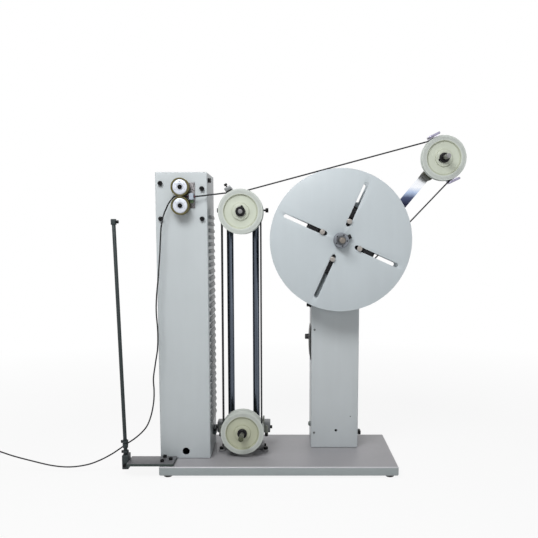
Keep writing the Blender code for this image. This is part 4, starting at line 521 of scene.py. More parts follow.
def roundTool(vertices, radius, depth, place=(0, 0, 0), axis="Y"):
    turn = {"Y": (math.pi / 2, 0, 0), "X": (0, math.pi / 2, 0), "Z": (0, 0, 0)}[axis]
    clearPick()
    bpy.ops.mesh.primitive_cylinder_add(vertices=vertices, radius=radius, depth=depth, location=place, rotation=turn)
    applyPlace()
    return bpy.context.object


def drilled(place, radius, axis="Y", reach=0.008, sides=48):
    return roundTool(sides, radius, reach * 2, place, axis)


# Half a cylinder, stretched upright and cut flat: the start of the louvres and of the bowed panel
def bowedStart(vertices, length, place, halfWidth, halfHeight):
    piece = roundTool(vertices, 1, length)
    piece.scale = (halfWidth, 1, halfHeight)
    piece.location = place
    pick(piece)
    applyPlace()
    editAll(piece)
    return piece


def wireRun(name, points, body=None, sides=4, replaced=()):
    clearPick()
    curve = bpy.data.curves.new(name, "CURVE")
    curve.dimensions = "3D"
    curve.bevel_depth = tailWire["diameter"] / 2
    curve.bevel_resolution = sides
    curve.use_fill_caps = True
    spline = curve.splines.new("POLY")
    spline.points.add(len(points) - 1)
    for knot, point in zip(spline.points, points):
        knot.co = (*point, 1)
    piece = bpy.data.objects.new(name, curve)
    bpy.context.scene.collection.objects.link(piece)
    curve.materials.append(finishes["wire_jacket"].material)
    if body:                                               # all but the free wire become a mesh
        pick(piece)
        bpy.ops.object.convert(target="MESH")
        piece = bpy.context.object
        editAll(piece)
        bpy.ops.mesh.remove_doubles(threshold=weldReach)
        bpy.ops.object.mode_set(mode="OBJECT")
        bpy.ops.object.shade_smooth_by_angle(angle=math.radians(50))
        if body != "blend":
            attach(piece, body)
    if replaced:
        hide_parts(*replaced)
    return piece


def smoothRoute(route, perSpan):
    knots = [Vector(point) for point in route]
    padded = [knots[0] * 2 - knots[1]] + knots + [knots[-1] * 2 - knots[-2]]
    points = []
    for index in range(1, len(padded) - 2):
        before, start, end, after = padded[index - 1:index + 3]
        for step in range(perSpan):
            t = step / perSpan
            points.append(0.5 * (2 * start + (end - before) * t
                                 + (2 * before - 5 * start + 4 * end - after) * t ** 2
                                 + (3 * start - before - 3 * end + after) * t ** 3))
    points.append(knots[-1])
    return points


def routeLength(points):
    return sum((far - near).length for near, far in zip(points, points[1:]))


def middle(node):
    low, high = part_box(node)
    return (low + high) / 2


def camel(cadName):
    words = cadName.split("_")
    return words[0] + "".join(word.title() for word in words[1:])


def facing(section, front):                                # a section drawn back from a front face
    return [(radius, front + along) for radius, along in section]


# Places that several pieces share, from the frame
seatGap = 0.0003
baseLow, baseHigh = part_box("base_pan")
rollerX, nipY, lowerRollerZ = middle("lower_roller_hub")
upperRollerZ = middle("upper_roller_hub").z
nipZ = (lowerRollerZ + upperRollerZ) / 2
accX, upperZ, lowerZ = middle("upper_sheave_front").x, middle("upper_sheave_front").z, middle("lower_sheave_front").z
reelX, reelZ = middle("front_disc").x, middle("front_disc").z
armPulley, armPivot = middle("arm_pulley"), middle("arm_pivot_stud")

# The free wire: from the pinch rollers to the guide post and out of the photograph
tailWire = {
    "diameter": 0.004,
    "exitLeft": 0.0043,
    "pointsPerSpan": 6,
    "route": [                                             # from the base's left front corner and the floor
        (0.0480, 0.0610, 0.7790), (0.0390, 0.0605, 0.7705), (0.0313, 0.0595, 0.7595), (0.0239, 0.0575, 0.7440),
        (0.0170, 0.0555, 0.7263), (0.0127, 0.0540, 0.7070), (0.0097, 0.0525, 0.6828), (0.0062, 0.0505, 0.6238),
        (0.0004, 0.0495, 0.5560), (-0.0052, 0.0488, 0.5013), (-0.0065, 0.0484, 0.4600), (-0.0035, 0.0480, 0.4100),
        (-0.0048, 0.0482, 0.3613), (-0.0121, 0.0486, 0.3159), (-0.0185, 0.0493, 0.2742), (-0.0176, 0.0502, 0.2400),
        (-0.0195, 0.0513, 0.2080), (-0.0270, 0.0526, 0.1709), (-0.0395, 0.0541, 0.1385), (-0.0570, 0.0557, 0.1165),
        (-0.0795, 0.0585, 0.0972), (-0.1020, 0.0595, 0.0822), (-0.1220, 0.0595, 0.0678), (-0.1450, 0.0595, 0.0525),
        (-0.1783, 0.0595, 0.0350), (-0.2160, 0.0595, 0.0215), (-0.2649, 0.0595, 0.0150), (-0.3163, 0.0595, 0.0192),
        (-0.3787, 0.0595, 0.0342), (-0.4267, 0.0595, 0.0475), (-0.4670, 0.0595, 0.0615)],
}
tailExit = Vector((rollerX - tailWire["exitLeft"], nipY, nipZ))
tailKnots = [tailExit] + [Vector((baseLow.x + x, baseLow.y + y, z)) for x, y, z in tailWire["route"]]
tailPoints = smoothRoute(tailKnots, tailWire["pointsPerSpan"])
tailPiece = wireRun("tailWire", tailPoints, sides=5, replaced=("tail_wire",))
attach(tailPiece, "frame")
routeLength(tailPoints)
print("stage: free wire", round(routeLength(tailPoints), 3), "m")

# Socket cap screws: one is modelled, the others are its copies
capScrew = {"headRadius": 0.0065, "headHeight": 0.008, "under": 0.0004, "socketRadius": 0.0033, "socketDepth": 0.004,
            "knurl": 36, "edge": 0.0006}
masterScrew = turned(rodProfile(capScrew["headRadius"], -capScrew["under"], capScrew["headHeight"]), axis="Z",
                     sides=capScrew["knurl"], edge=capScrew["edge"])
cutOut(masterScrew, roundTool(6, capScrew["socketRadius"], capScrew["socketDepth"] * 2,
                              (0, 0, capScrew["headHeight"]), "Z"))
masterScrew.name = "masterScrew"


def screwSet(name, seats, body, slotName="grey_paint", scale=1.0):
    heads = []
    for place, towards in seats:
        turn = Vector((0, 0, 1)).rotation_difference(Vector(towards)).to_matrix().to_4x4()
        heads.append(copied(masterScrew, place, turn @ Matrix.Scale(scale, 4)))
    return settle(joined(*heads), name, slotName, body, blackOxide)


# Folded base with inward returns, on four rubber feet
basePan = {"bend": 0.0038, "bendSteps": 5, "wall": 0.0025, "return": 0.034, "low": 0.008}
pan = blocked((baseLow.x, baseLow.y, basePan["low"]), baseHigh, basePan["bend"], basePan["bendSteps"])
pick(pan)
selectFaces(pan, lambda centre, normal: normal.z < -0.99)
bpy.ops.mesh.inset(thickness=basePan["return"] - basePan["bend"], use_even_offset=True)
bpy.ops.mesh.delete(type="FACE")
bpy.ops.object.mode_set(mode="OBJECT")
applyStep(pan, "SOLIDIFY", thickness=basePan["wall"], offset=-1, use_even_offset=True)
settle(pan, "basePan", "base_paint", "frame", replaced=("base_pan",))

rubberFoot = {"inset": 0.022, "sides": 40, "edge": 0.0005,
              "section": [(0, 0), (0.0095, 0), (0.0112, 0.0012), (0.0138, 0.0068), (0.0138, 0.0082), (0, 0.0082)]}
masterFoot = turned(rubberFoot["section"], axis="Z", sides=rubberFoot["sides"], edge=rubberFoot["edge"])
footPlaces = [(x, y, 0) for x in (baseLow.x + rubberFoot["inset"], baseHigh.x - rubberFoot["inset"])
              for y in (baseLow.y + rubberFoot["inset"], baseHigh.y - rubberFoot["inset"])]
for number, place in enumerate(footPlaces, 1):
    settle(copied(masterFoot, place), "rubberFoot" + str(number), "black_plastic", "frame", footRubber)
discard(masterFoot)

# Tower and column: folded sheet, open behind until its cover goes on
foldedSheet = {"bend": 0.003, "bendSteps": 5, "wall": 0.002}


def foldedHousing(low, high):
    bend = foldedSheet["bend"]
    shell = blocked(low, (high[0], high[1] + 2 * bend, high[2]), bend, foldedSheet["bendSteps"])
    editAll(shell)
    bpy.ops.mesh.bisect(plane_co=(0, high[1], 0), plane_no=(0, 1, 0), clear_outer=True)
    bpy.ops.object.mode_set(mode="OBJECT")
    applyStep(shell, "SOLIDIFY", thickness=foldedSheet["wall"], offset=-1, use_even_offset=True)
    return shell


tower = {"right": -0.2304, "shaftHole": 0.008, "lowHole": {"aside": 0.0020, "lift": 0.0215, "radius": 0.0104},
         "screws": [(0.0145, 0.031), (-0.0145, 0.0455), (0.0145, 0.128), (-0.0145, 0.128)],   # in from a side, down
         "sideScrew": {"back": 0.026, "drop": 0.021}}
towerLow, towerHigh = [Vector(corner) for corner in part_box("tower_shell")]
towerLow.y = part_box("guide_plate")[1].y + seatGap
towerHigh.x = tower["right"]
towerFront, towerTop = towerLow.y, towerHigh.z
lowHole = tower["lowHole"]
towerPiece = foldedHousing(towerLow, towerHigh)
cutOut(towerPiece,
       *[drilled((rollerX, towerFront, height), tower["shaftHole"]) for height in (lowerRollerZ, upperRollerZ)],
       drilled(((towerLow.x + towerHigh.x) / 2 + lowHole["aside"], towerFront, towerLow.z + lowHole["lift"]),
               lowHole["radius"]))
settle(towerPiece, "towerShell", "grey_paint", "frame", replaced=("tower_shell",))
seats = [((towerLow.x + x if x > 0 else towerHigh.x + x, towerFront, towerTop - drop), (0, -1, 0))
         for x, drop in tower["screws"]]
seats.append(((towerHigh.x, towerFront + tower["sideScrew"]["back"], towerTop - tower["sideScrew"]["drop"]), (1, 0, 0)))
screwSet("towerScrews", seats, "frame")

louvre = {"count": 31, "pitch": 0.0195, "length": 0.130, "drop": 0.011, "proud": 0.0052, "topDrop": 0.115,
          "sunk": 0.0005, "edge": 0.0016, "lip": 0.00077, "mouth": (-0.0006, 0, 0.0050)}
louvreZ = towerTop - louvre["topDrop"] - louvre["drop"]
hood = bowedStart(32, louvre["length"], (towerHigh.x, (towerLow.y + towerHigh.y) / 2, louvreZ),
                  louvre["proud"], louvre["drop"])
bpy.ops.mesh.bisect(plane_co=(0, 0, louvreZ), plane_no=(0, 0, 1), use_fill=True, clear_inner=True)
bpy.ops.mesh.select_all(action="SELECT")
bpy.ops.mesh.bisect(plane_co=(towerHigh.x - louvre["sunk"], 0, 0), plane_no=(1, 0, 0), use_fill=True, clear_inner=True)
bpy.ops.object.mode_set(mode="OBJECT")
roundEdges(hood, louvre["edge"], 3, 60)
selectFaces(hood, lambda centre, normal: normal.z < -0.98)
bpy.ops.mesh.inset(thickness=louvre["lip"])
bpy.ops.mesh.extrude_region_move(TRANSFORM_OT_translate={"value": louvre["mouth"]})
bpy.ops.object.mode_set(mode="OBJECT")
hoods = [hood] + [copied(hood, (0, 0, -louvre["pitch"] * step)) for step in range(1, louvre["count"])]
settle(joined(*hoods), "towerLouvres", "grey_paint", "frame", louvrePaintedShade, smooth=40)

# Column: its screws and two small holes are placed from the base's middle
column = {"screws": [(0.105, 0.395), (0.105, 0.081)], "screwSunk": 0.0018, "screwScale": 0.42,
          "smallHole": (0.2146, 0.131, 0.0018, 20), "wideHole": (0.171, 0.088, 0.0042, 48),
          "housingHole": 0.0243, "studHole": 0.0063}
columnLow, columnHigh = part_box("column_shell")
columnFront = columnLow.y
baseMidX = (baseLow.x + baseHigh.x) / 2
columnPiece = foldedHousing(columnLow, columnHigh)
cutOut(columnPiece, *[drilled((baseMidX + x, columnFront, z), radius, sides=sides)
                      for x, z, radius, sides in (column["smallHole"], column["wideHole"])],
       drilled((reelX, columnFront, reelZ), column["housingHole"]),
       drilled((armPivot.x, columnFront, armPivot.z), column["studHole"]))
settle(columnPiece, "columnShell", "grey_paint", "frame", columnPaint, replaced=("column_shell",))
screwSet("columnScrews",
         [((baseMidX + x, columnFront + column["screwSunk"], z), (0, -1, 0)) for x, z in column["screws"]],
         "frame", scale=column["screwScale"])

rearCover = {"edge": 0.0007, "screwInset": 0.012, "screwEnd": 0.03, "screwSunk": 0.0012, "screwScale": 0.5, "rows": 4}
for cadName in ("tower_rear_cover", "column_rear_cover"):
    coverLow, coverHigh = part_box(cadName)
    settle(blocked(coverLow, coverHigh, rearCover["edge"], 2), camel(cadName), "grey_paint", "frame", columnPaint,
           replaced=(cadName,))
    lowest, highest = coverLow.z + rearCover["screwEnd"], coverHigh.z - rearCover["screwEnd"]
    heights = [lowest + (highest - lowest) * row / (rearCover["rows"] - 1) for row in range(rearCover["rows"])]
    seats = [((x, coverHigh.y - rearCover["screwSunk"], z), (0, 1, 0))
             for x in (coverLow.x + rearCover["screwInset"], coverHigh.x - rearCover["screwInset"]) for z in heights]
    screwSet(camel(cadName) + "Screws", seats, "frame", scale=rearCover["screwScale"])
print("stage: housings made")

# Pinch rollers: a drilled hub, a grooved tyre and a bolt, modelled below and copied above
roller = {"bore": 0.0055, "hub": 0.0208, "tyre": 0.0250, "groove": 0.0022, "grooveHalf": 0.0034, "sides": 72,
          "face": [(0.0055, 0.0006), (0.0085, 0.0006), (0.0095, 0), (0.0188, 0), (0.0208, 0.0014)], "fit": 0.0002,
          "holes": 6, "holeCircle": 0.0145, "holeRadius": 0.0016, "boltBack": 0.0046, "boltScale": 0.95}
rollerFront, rollerRear = [corner.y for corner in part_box("lower_roller_hub")]
lowerRoller = (rollerX, 0, lowerRollerZ)
masterHub = turned(closed(facing(roller["face"], rollerFront)
                          + [(roller["hub"], rollerRear), (roller["bore"], rollerRear)]),
                   lowerRoller, "Y", roller["sides"], 0.0003)
hubHole = drilled((rollerX, rollerFront, lowerRollerZ), roller["holeRadius"], reach=0.003, sides=14)
cutOut(masterHub, joined(*around(hubHole, roller["holes"], roller["holeCircle"], math.pi / roller["holes"])))
inside, outer, deep = roller["hub"] + roller["fit"], roller["tyre"], roller["tyre"] - roller["groove"]
half = roller["grooveHalf"]
masterTyre = turned(closed([(inside, rollerFront), (outer, rollerFront), (outer, nipY - half), (deep, nipY - half / 2),
                            (deep, nipY + half / 2), (outer, nipY + half), (outer, rollerRear), (inside, rollerRear)]),
                    lowerRoller, "Y", roller["sides"], 0.0006)
for word, height in (("lower", lowerRollerZ), ("upper", upperRollerZ)):
    body, lift = word + "_roller", (0, 0, height - lowerRollerZ)
    settle(copied(masterHub, lift), word + "RollerHub", "turned_aluminium", body, replaced=(body + "_hub",))
    settle(copied(masterTyre, lift), word + "RollerTyre", "roller_tyre", body, replaced=(body + "_tyre",))
    screwSet(word + "RollerBolt", [((rollerX, rollerFront + roller["boltBack"], height), (0, -1, 0))], body,
             "black_plastic", roller["boltScale"])
discard(masterHub, masterTyre)

# Wire guide in front of the rollers, with its sleeves, plate and clip
guide = {"edge": 0.0012, "bore": 0.0026, "plateEdge": 0.0006, "sleeveBore": 0.0022,
         "sleeveIn": (0.0034, 0.0002, 0.0052), "sleeveOut": (0.0030, -0.0060, -0.0002),
         "clipLow": (0.0022, 0.009, -0.0085), "clipHigh": (0.0110, -0.0024, -0.0003)}
guideLow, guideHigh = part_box("wire_guide_block")
plateLow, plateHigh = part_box("guide_plate")
guideX = middle("wire_guide_block").x
guideBlock = blocked(guideLow, guideHigh, guide["edge"], 3)
cutOut(guideBlock, drilled((guideX, nipY, nipZ), guide["bore"], "X", 0.02, 24))
settle(guideBlock, "wireGuideBlock", "white_ceramic", "frame", replaced=("wire_guide_block",))
for name, side, (radius, start, end) in (("guideSleeveIn", guideHigh.x, guide["sleeveIn"]),
                                         ("guideSleeveOut", guideLow.x, guide["sleeveOut"])):
    sleeve = turned(ringProfile(guide["sleeveBore"], radius, side + start, side + end), (0, nipY, nipZ), "X", 28)
    settle(sleeve, name, "wire_jacket", "frame", redSleeve)
settle(blocked(plateLow, plateHigh, guide["plateEdge"], 2), "guidePlate", "grey_block", "frame", zincPlate,
       replaced=("guide_plate",))
clipLow = guideLow + Vector(guide["clipLow"])
clipHigh = Vector((guideLow.x, plateHigh.y, guideLow.z)) + Vector(guide["clipHigh"])
settle(blocked(clipLow, clipHigh, guide["edge"], 3), "guideClip", "black_plastic", "frame", clipGreen)

# Grooved sheaves: one is modelled, all six are its copies
sheave = {"outer": 0.0625, "half": 0.0105, "flange": 0.0018, "groove": 0.0524, "grooveHalf": 0.0026, "recess": 0.0470,
          "recessDepth": 0.0045, "boss": 0.0235, "bearing": 0.0190, "bore": 0.0069, "wire": 0.0555, "sides": 112}
half, deep, outer = sheave["half"], sheave["half"] - sheave["recessDepth"], sheave["outer"]
sheaveSide = [
    (sheave["bore"], half), (sheave["bearing"], half), (sheave["bearing"] + 0.0006, half - 0.0008),
    (sheave["boss"], half - 0.0008), (sheave["boss"] + 0.0008, deep), (sheave["recess"] - 0.0012, deep),
    (sheave["recess"], half - 0.0004), (sheave["recess"] + 0.0010, half), (outer - 0.0006, half),
    (outer, half - 0.0006), (outer, half - sheave["flange"]),
    (sheave["groove"] + 0.0012, sheave["grooveHalf"] + 0.0010), (sheave["groove"], sheave["grooveHalf"] - 0.0010)]
masterSheave = turned(closed(sheaveSide + [(radius, -along) for radius, along in reversed(sheaveSide)]),
                      sides=sheave["sides"], edge=0.00035)
for cadName in ("upper_sheave_front", "upper_sheave_middle", "upper_sheave_rear", "lower_sheave_front",
                "lower_sheave_rear", "arm_pulley"):
    settle(copied(masterSheave, middle(cadName)), camel(cadName), "nylon", cadName, replaced=(cadName,))
discard(masterSheave)

# Axles: a bright pin, a black set collar and the collar's screw
axle = {"pin": 0.0065, "chamfer": 0.0012, "shoulder": 0.010, "collar": 0.0138, "collarLength": 0.008,
        "collarGap": 0.0004, "screwSunk": 0.0010, "screwScale": 0.52,
        "collarFace": [(0.0065, 0), (0.0100, 0), (0.0104, 0.0006), (0.0124, 0.0006), (0.0138, 0.0016)],
        "capFace": [(0, -0.0008), (0.0058, -0.0008), (0.0072, 0.0008), (0.0072, 0.0060), (0.0066, 0.0060),
                    (0.0066, 0.0002), (0, 0.0002)]}


def axleSet(cadName, body, centre, wheel, shoulder, screwAngle):
    low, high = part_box(cadName)
    name, axis = camel(cadName), (centre.x, 0, centre.z)
    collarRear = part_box(wheel)[0].y - axle["collarGap"]
    collarFront = collarRear - axle["collarLength"]
    profile = [(0, low.y), (axle["pin"] - axle["chamfer"], low.y), (axle["pin"], low.y + axle["chamfer"])]
    if shoulder:
        profile += [(axle["pin"], shoulder[0]), (axle["shoulder"], shoulder[0]), (axle["shoulder"], shoulder[1]),
                    (axle["pin"], shoulder[1])]
    profile += [(axle["pin"], high.y), (0, high.y)]
    settle(turned(profile, axis, "Y", 48, 0.0003), name + "Pin", "bright_steel", body, axleSteel, replaced=(cadName,))
    rear = [(axle["collar"], collarRear), (axle["pin"], collarRear)]
    collar = turned(closed(facing(axle["collarFace"], collarFront) + rear), axis, "Y", 64, 0.0003)
    settle(collar, name + "Collar", "black_plastic", body, blackOxide)
    out = Vector((math.cos(screwAngle), 0, math.sin(screwAngle)))
    seat = Vector((centre.x, (collarFront + collarRear) / 2, centre.z)) + out * (axle["collar"] - axle["screwSunk"])
    screwSet(name + "CollarScrew", [(seat, out)], body, "black_plastic", axle["screwScale"])


def shoulderOf(rearSheave, holder):                        # from the last sheave back to what holds the axle
    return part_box(rearSheave)[1].y + axle["collarGap"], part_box(holder)[0].y - seatGap


accTop, accLow = Vector((accX, 0, upperZ)), Vector((accX, 0, lowerZ))
axleSet("upper_axle", "frame", accTop, "upper_sheave_front", shoulderOf("upper_sheave_rear", "top_bracket"),
        math.radians(72))
axleSet("lower_axle", "carriage", accLow, "lower_sheave_front", shoulderOf("lower_sheave_rear", "carriage"),
        math.radians(-92))
axleSet("pulley_axle", "dancer_arm", armPulley, "arm_pulley", None, math.radians(205))
axleCap = turned(facing(axle["capFace"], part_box("lower_axle")[0].y), accLow, "Y", 40, 0.0003)
settle(axleCap, "lowerAxleCap", "black_plastic", "carriage", capOlive)
print("stage: rollers and sheaves made")

# Guide rods, with a turned recess in each top
guideRod = {"radius": 0.010, "bore": 0.0103, "footChamfer": 0.001, "topChamfer": 0.0012, "recess": (0.0034, 0.0028),
            "sides": 64}
rodLow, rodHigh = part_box("guide_rod_left")
rodPlaces = [middle("guide_rod_left"), middle("guide_rod_right")]
rodY, topChamfer = rodPlaces[0].y, guideRod["topChamfer"]
rodSection = [(0, rodLow.z), (guideRod["radius"] - guideRod["footChamfer"], rodLow.z),
              (guideRod["radius"], rodLow.z + guideRod["footChamfer"]), (guideRod["radius"], rodHigh.z - topChamfer),
              (guideRod["radius"] - topChamfer, rodHigh.z), (guideRod["recess"][0], rodHigh.z),
              (guideRod["recess"][1], rodHigh.z - topChamfer), (0, rodHigh.z - topChamfer)]
masterRod = turned(rodSection, (rodPlaces[0].x, rodY, 0), "Z", guideRod["sides"], 0.0002)
for cadName, place in zip(("guide_rod_left", "guide_rod_right"), rodPlaces):
    settle(copied(masterRod, place - rodPlaces[0]), camel(cadName), "chromed_steel", "frame", rodChrome,
           replaced=(cadName,))
discard(masterRod)


def rodBores(radius, height, reach):
    return [drilled((place.x, place.y, height), radius, "Z", reach) for place in rodPlaces]


topBracket = {"half": 0.0575, "edge": 0.0016, "axleBore": 0.0068, "screwEnd": 0.0750, "screwLift": 0.0055,
              "shank": 0.0026, "shankSunk": 0.002}
bracketLow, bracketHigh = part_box("top_bracket")
bracketMid = (bracketLow + bracketHigh) / 2
bracket = blocked((accX - topBracket["half"], bracketLow.y, bracketLow.z),
                  (accX + topBracket["half"], bracketHigh.y, bracketHigh.z), topBracket["edge"], 3)
cutOut(bracket, *rodBores(guideRod["bore"], bracketMid.z, 0.04),
       drilled((accX, bracketMid.y, upperZ), topBracket["axleBore"], "Y", 0.04, 32))
settle(bracket, "topBracket", "grey_block", "frame", replaced=("top_bracket",))
sideScrewZ = bracketMid.z + topBracket["screwLift"]
shankEnds = (topBracket["half"] - topBracket["shankSunk"], topBracket["screwEnd"] - capScrew["headHeight"] * 0.9)
shank = turned(rodProfile(topBracket["shank"], *shankEnds), (accX, rodY, sideScrewZ), "X", 20, 0)
settle(joined(shank, copied(shank, (-sum(shankEnds), 0, 0))), "topBracketShanks", "grey_block", "frame", blackOxide)
headReach = topBracket["screwEnd"] - capScrew["headHeight"]
screwSet("topBracketScrews", [((accX + side * headReach, rodY, sideScrewZ), (side, 0, 0)) for side in (-1, 1)],
         "frame", "grey_block")

rodBase = {"half": 0.061, "flange": 0.016, "post": 0.030, "setBack": 0.0025, "sunk": 0.004, "edge": 0.0012,
           "postEdge": 0.0014, "topScrew": 0.010, "screwScale": 0.72}
footLow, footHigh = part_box("rod_base_block")
flangeTop = footLow.z + rodBase["flange"]
flange = blocked((accX - rodBase["half"], footLow.y, footLow.z), (accX + rodBase["half"], footHigh.y, flangeTop),
                 rodBase["edge"], 3)
upright = blocked((rodPlaces[0].x - rodBase["post"] / 2, footLow.y + rodBase["setBack"], footLow.z + rodBase["sunk"]),
                  (rodPlaces[0].x + rodBase["post"] / 2, footHigh.y - rodBase["setBack"], footHigh.z),
                  rodBase["postEdge"], 3)
combine(flange, "UNION", copied(upright, (rodPlaces[1].x - rodPlaces[0].x, 0, 0)), upright)
cutOut(flange, *rodBores(guideRod["bore"], footHigh.z, 0.10))
settle(flange, "rodBaseBlock", "grey_block", "frame", footSteel, replaced=("rod_base_block",))
seats = [((accX + side * rodBase["half"], rodY, footLow.z + rodBase["flange"] / 2), (side, 0, 0)) for side in (-1, 1)]
seats += [((accX + side * (rodBase["half"] - rodBase["topScrew"]), footHigh.y - rodBase["topScrew"], flangeTop),
           (0, 0, 1)) for side in (-1, 1)]
screwSet("rodBaseScrews", seats, "frame", "grey_block", rodBase["screwScale"])

holdDown = {"inner": 0.0560, "outer": 0.0735, "forward": 0.018, "thick": 0.0048, "screwAt": 0.0665, "screwBack": 0.008,
            "screwScale": 0.92}
clampTop = footLow.z + holdDown["thick"]
rightClamp = blocked((accX + holdDown["inner"], footLow.y - holdDown["forward"], footLow.z),
                     (accX + holdDown["outer"], footLow.y - seatGap, clampTop))
leftClamp = copied(rightClamp, (-holdDown["inner"] - holdDown["outer"], 0, 0))
settle(joined(leftClamp, rightClamp), "rodBaseClamps", "grey_block", "frame", footSteel)
screwSet("rodBaseClampScrews",
         [((accX + side * holdDown["screwAt"], footLow.y - holdDown["screwBack"], clampTop), (0, 0, 1))
          for side in (-1, 1)], "frame", "grey_block", holdDown["screwScale"])

# Carriage on the rods, with its bushes, tabs and keeper
carriage = {"edge": 0.0016, "rodBore": 0.0106, "axleBore": 0.0068, "topDrop": 0.002, "bush": 0.0135, "bushBore": 0.0104,
            "bushFrom": 0.002, "bushEdge": 0.0005, "screwDrop": 0.004, "screwScale": 0.75}
slideLow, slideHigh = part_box("carriage")
slideTop = slideHigh.z - carriage["topDrop"]
slideMidZ = (slideLow.z + slideTop) / 2
slide = blocked(slideLow, (slideHigh.x, slideHigh.y, slideTop), carriage["edge"], 3)
cutOut(slide, *rodBores(carriage["rodBore"], slideMidZ, 0.04),
       drilled((accX, (slideLow.y + slideHigh.y) / 2, lowerZ), carriage["axleBore"], "Y", 0.04, 32))
settle(slide, "carriage", "grey_block", "carriage", replaced=("carriage",))
masterBush = turned(ringProfile(carriage["bushBore"], carriage["bush"], slideLow.z + carriage["bushFrom"], slideHigh.z),
                    axis="Z", sides=56, edge=carriage["bushEdge"])
for number, place in enumerate(rodPlaces, 1):
    settle(copied(masterBush, (place.x, place.y, 0)), "carriageBush" + str(number), "bronze", "carriage")
discard(masterBush)
endScrewZ = slideMidZ - carriage["screwDrop"]
screwSet("carriageEndScrews",
         [((slideLow.x, rodY, endScrewZ), (-1, 0, 0)), ((slideHigh.x, rodY, endScrewZ), (1, 0, 0))],
         "carriage", "grey_block", carriage["screwScale"])

carriageTab = {"sides": ((-0.0738, -0.0640), (0.0625, 0.0730)), "low": 0.0100, "thick": 0.0052, "topDrop": 0.010,
               "edge": 0.0011, "screwLift": 0.0055, "screwScale": 0.74,
               "keeperX": (0.0574, 0.0624), "keeperForward": 0.0325, "keeperZ": (-0.010, 0.0205)}
tabFront, tabRear, tabLow = slideLow.y - carriageTab["thick"], slideLow.y - seatGap, slideLow.z - carriageTab["low"]
tabs = [blocked((accX + near, tabFront, tabLow), (accX + far, tabRear, slideTop - carriageTab["topDrop"]),
                carriageTab["edge"], 3) for near, far in carriageTab["sides"]]
settle(joined(*tabs), "carriageTabs", "grey_block", "carriage", tabSteel)
screwSet("carriageTabScrews", [((accX + (near + far) / 2, tabFront, tabLow + carriageTab["screwLift"]), (0, -1, 0))
                               for near, far in carriageTab["sides"]],
         "carriage", "grey_block", carriageTab["screwScale"])
near, far = carriageTab["keeperX"]
below, above = carriageTab["keeperZ"]
settle(blocked((accX + near, slideLow.y - carriageTab["keeperForward"], slideTop + below),
               (accX + far, tabRear, slideTop + above), carriageTab["edge"], 3),
       "carriageKeeper", "grey_block", "carriage", tabSteel)

# Wire keeper over the upper sheaves
keeper = {"angle": math.radians(119), "inner": 0.0660, "thick": 0.0108, "width": 0.018, "edge": 0.0012,
          "legHalf": 0.007, "legEdge": 0.0008, "neck": 0.0045, "neckRadius": 0.0019, "neckSunk": 0.001,
          "neckBack": 0.006, "screwScale": 0.68}
keeperLow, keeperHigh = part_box("wire_keeper")
outward = Vector((math.cos(keeper["angle"]), 0, math.sin(keeper["angle"])))
keeperBar = blocked((-keeper["width"] / 2, keeperLow.y, keeper["inner"]),
                    (keeper["width"] / 2, keeperHigh.y, keeper["inner"] + keeper["thick"]), keeper["edge"], 3)
keeperBar.data.transform(Matrix.Translation(accTop) @ Matrix.Rotation(math.pi / 2 - keeper["angle"], 4, "Y"))
barMiddle = accTop + outward * (keeper["inner"] + keeper["thick"] / 2)
combine(keeperBar, "UNION", blocked((barMiddle.x - keeper["legHalf"], bracketLow.y, bracketHigh.z + seatGap),
                                    (barMiddle.x + keeper["legHalf"], keeperHigh.y, barMiddle.z), keeper["legEdge"], 2))
settle(keeperBar, "wireKeeper", "grey_block", "frame", keeperSteel, replaced=("wire_keeper",))
neckFoot = accTop + outward * (keeper["inner"] + keeper["thick"])
neckFoot.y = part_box("upper_sheave_front")[0].y + keeper["neckBack"]
neck = turned(rodProfile(keeper["neckRadius"], -keeper["neckSunk"], keeper["neck"] + keeper["neckSunk"]), axis="Z",
              sides=20, edge=0)
neck.data.transform(Matrix.Translation(neckFoot) @ Vector((0, 0, 1)).rotation_difference(outward).to_matrix().to_4x4())
settle(neck, "keeperNeck", "grey_block", "frame", blackOxide)
screwSet("keeperScrew", [(neckFoot + outward * keeper["neck"], outward)], "frame", "grey_block", keeper["screwScale"])
print("stage: accumulator made")

# Reel: two slotted discs on four pins, with a clamp collar in front
reel = {"disc": 0.200, "bore": 0.0088, "slots": 4, "angle": math.radians(66), "slotWidth": 0.0124, "slotFrom": 0.043,
        "slotTo": 0.176, "edge": 0.0005, "pinCircle": 0.0576, "pin": 0.0057, "pinHead": 0.0075, "pinFlange": 0.0085,
        "flangeGap": 0.0020, "flangeSunk": 0.0010}
frontLow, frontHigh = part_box("front_disc")
rearLow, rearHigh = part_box("rear_disc")                    # its box takes in the pins
rearFace = rearHigh.y - (frontHigh.y - frontLow.y)
reelCentre = Vector((reelX, 0, reelZ))
slotTool = roundTool(32, reel["slotWidth"] / 2, 0.02)
for vertex in slotTool.data.vertices:                      # pull the round pin out into a slot
    end = reel["slotTo"] - reel["slotWidth"] / 2 if vertex.co.x > 0 else reel["slotFrom"] + reel["slotWidth"] / 2
    vertex.co.x += end


def slottedDisc(front, rear):
    disc = turned(ringProfile(reel["bore"], reel["disc"], front, rear), reelCentre, "Y", 192, 0)
    middleOfDisc = (reelX, (front + rear) / 2, reelZ)
    for step in range(reel["slots"]):
        angle = reel["angle"] + math.tau * step / reel["slots"]
        cutOut(disc, copied(slotTool, middleOfDisc, Matrix.Rotation(-angle, 4, "Y")))
    roundEdges(disc, reel["edge"], 2, 60)
    disc.data.attributes.remove(disc.data.attributes["turning"])
    markTurning(disc, reelCentre, runAxis["Y"])
    return disc


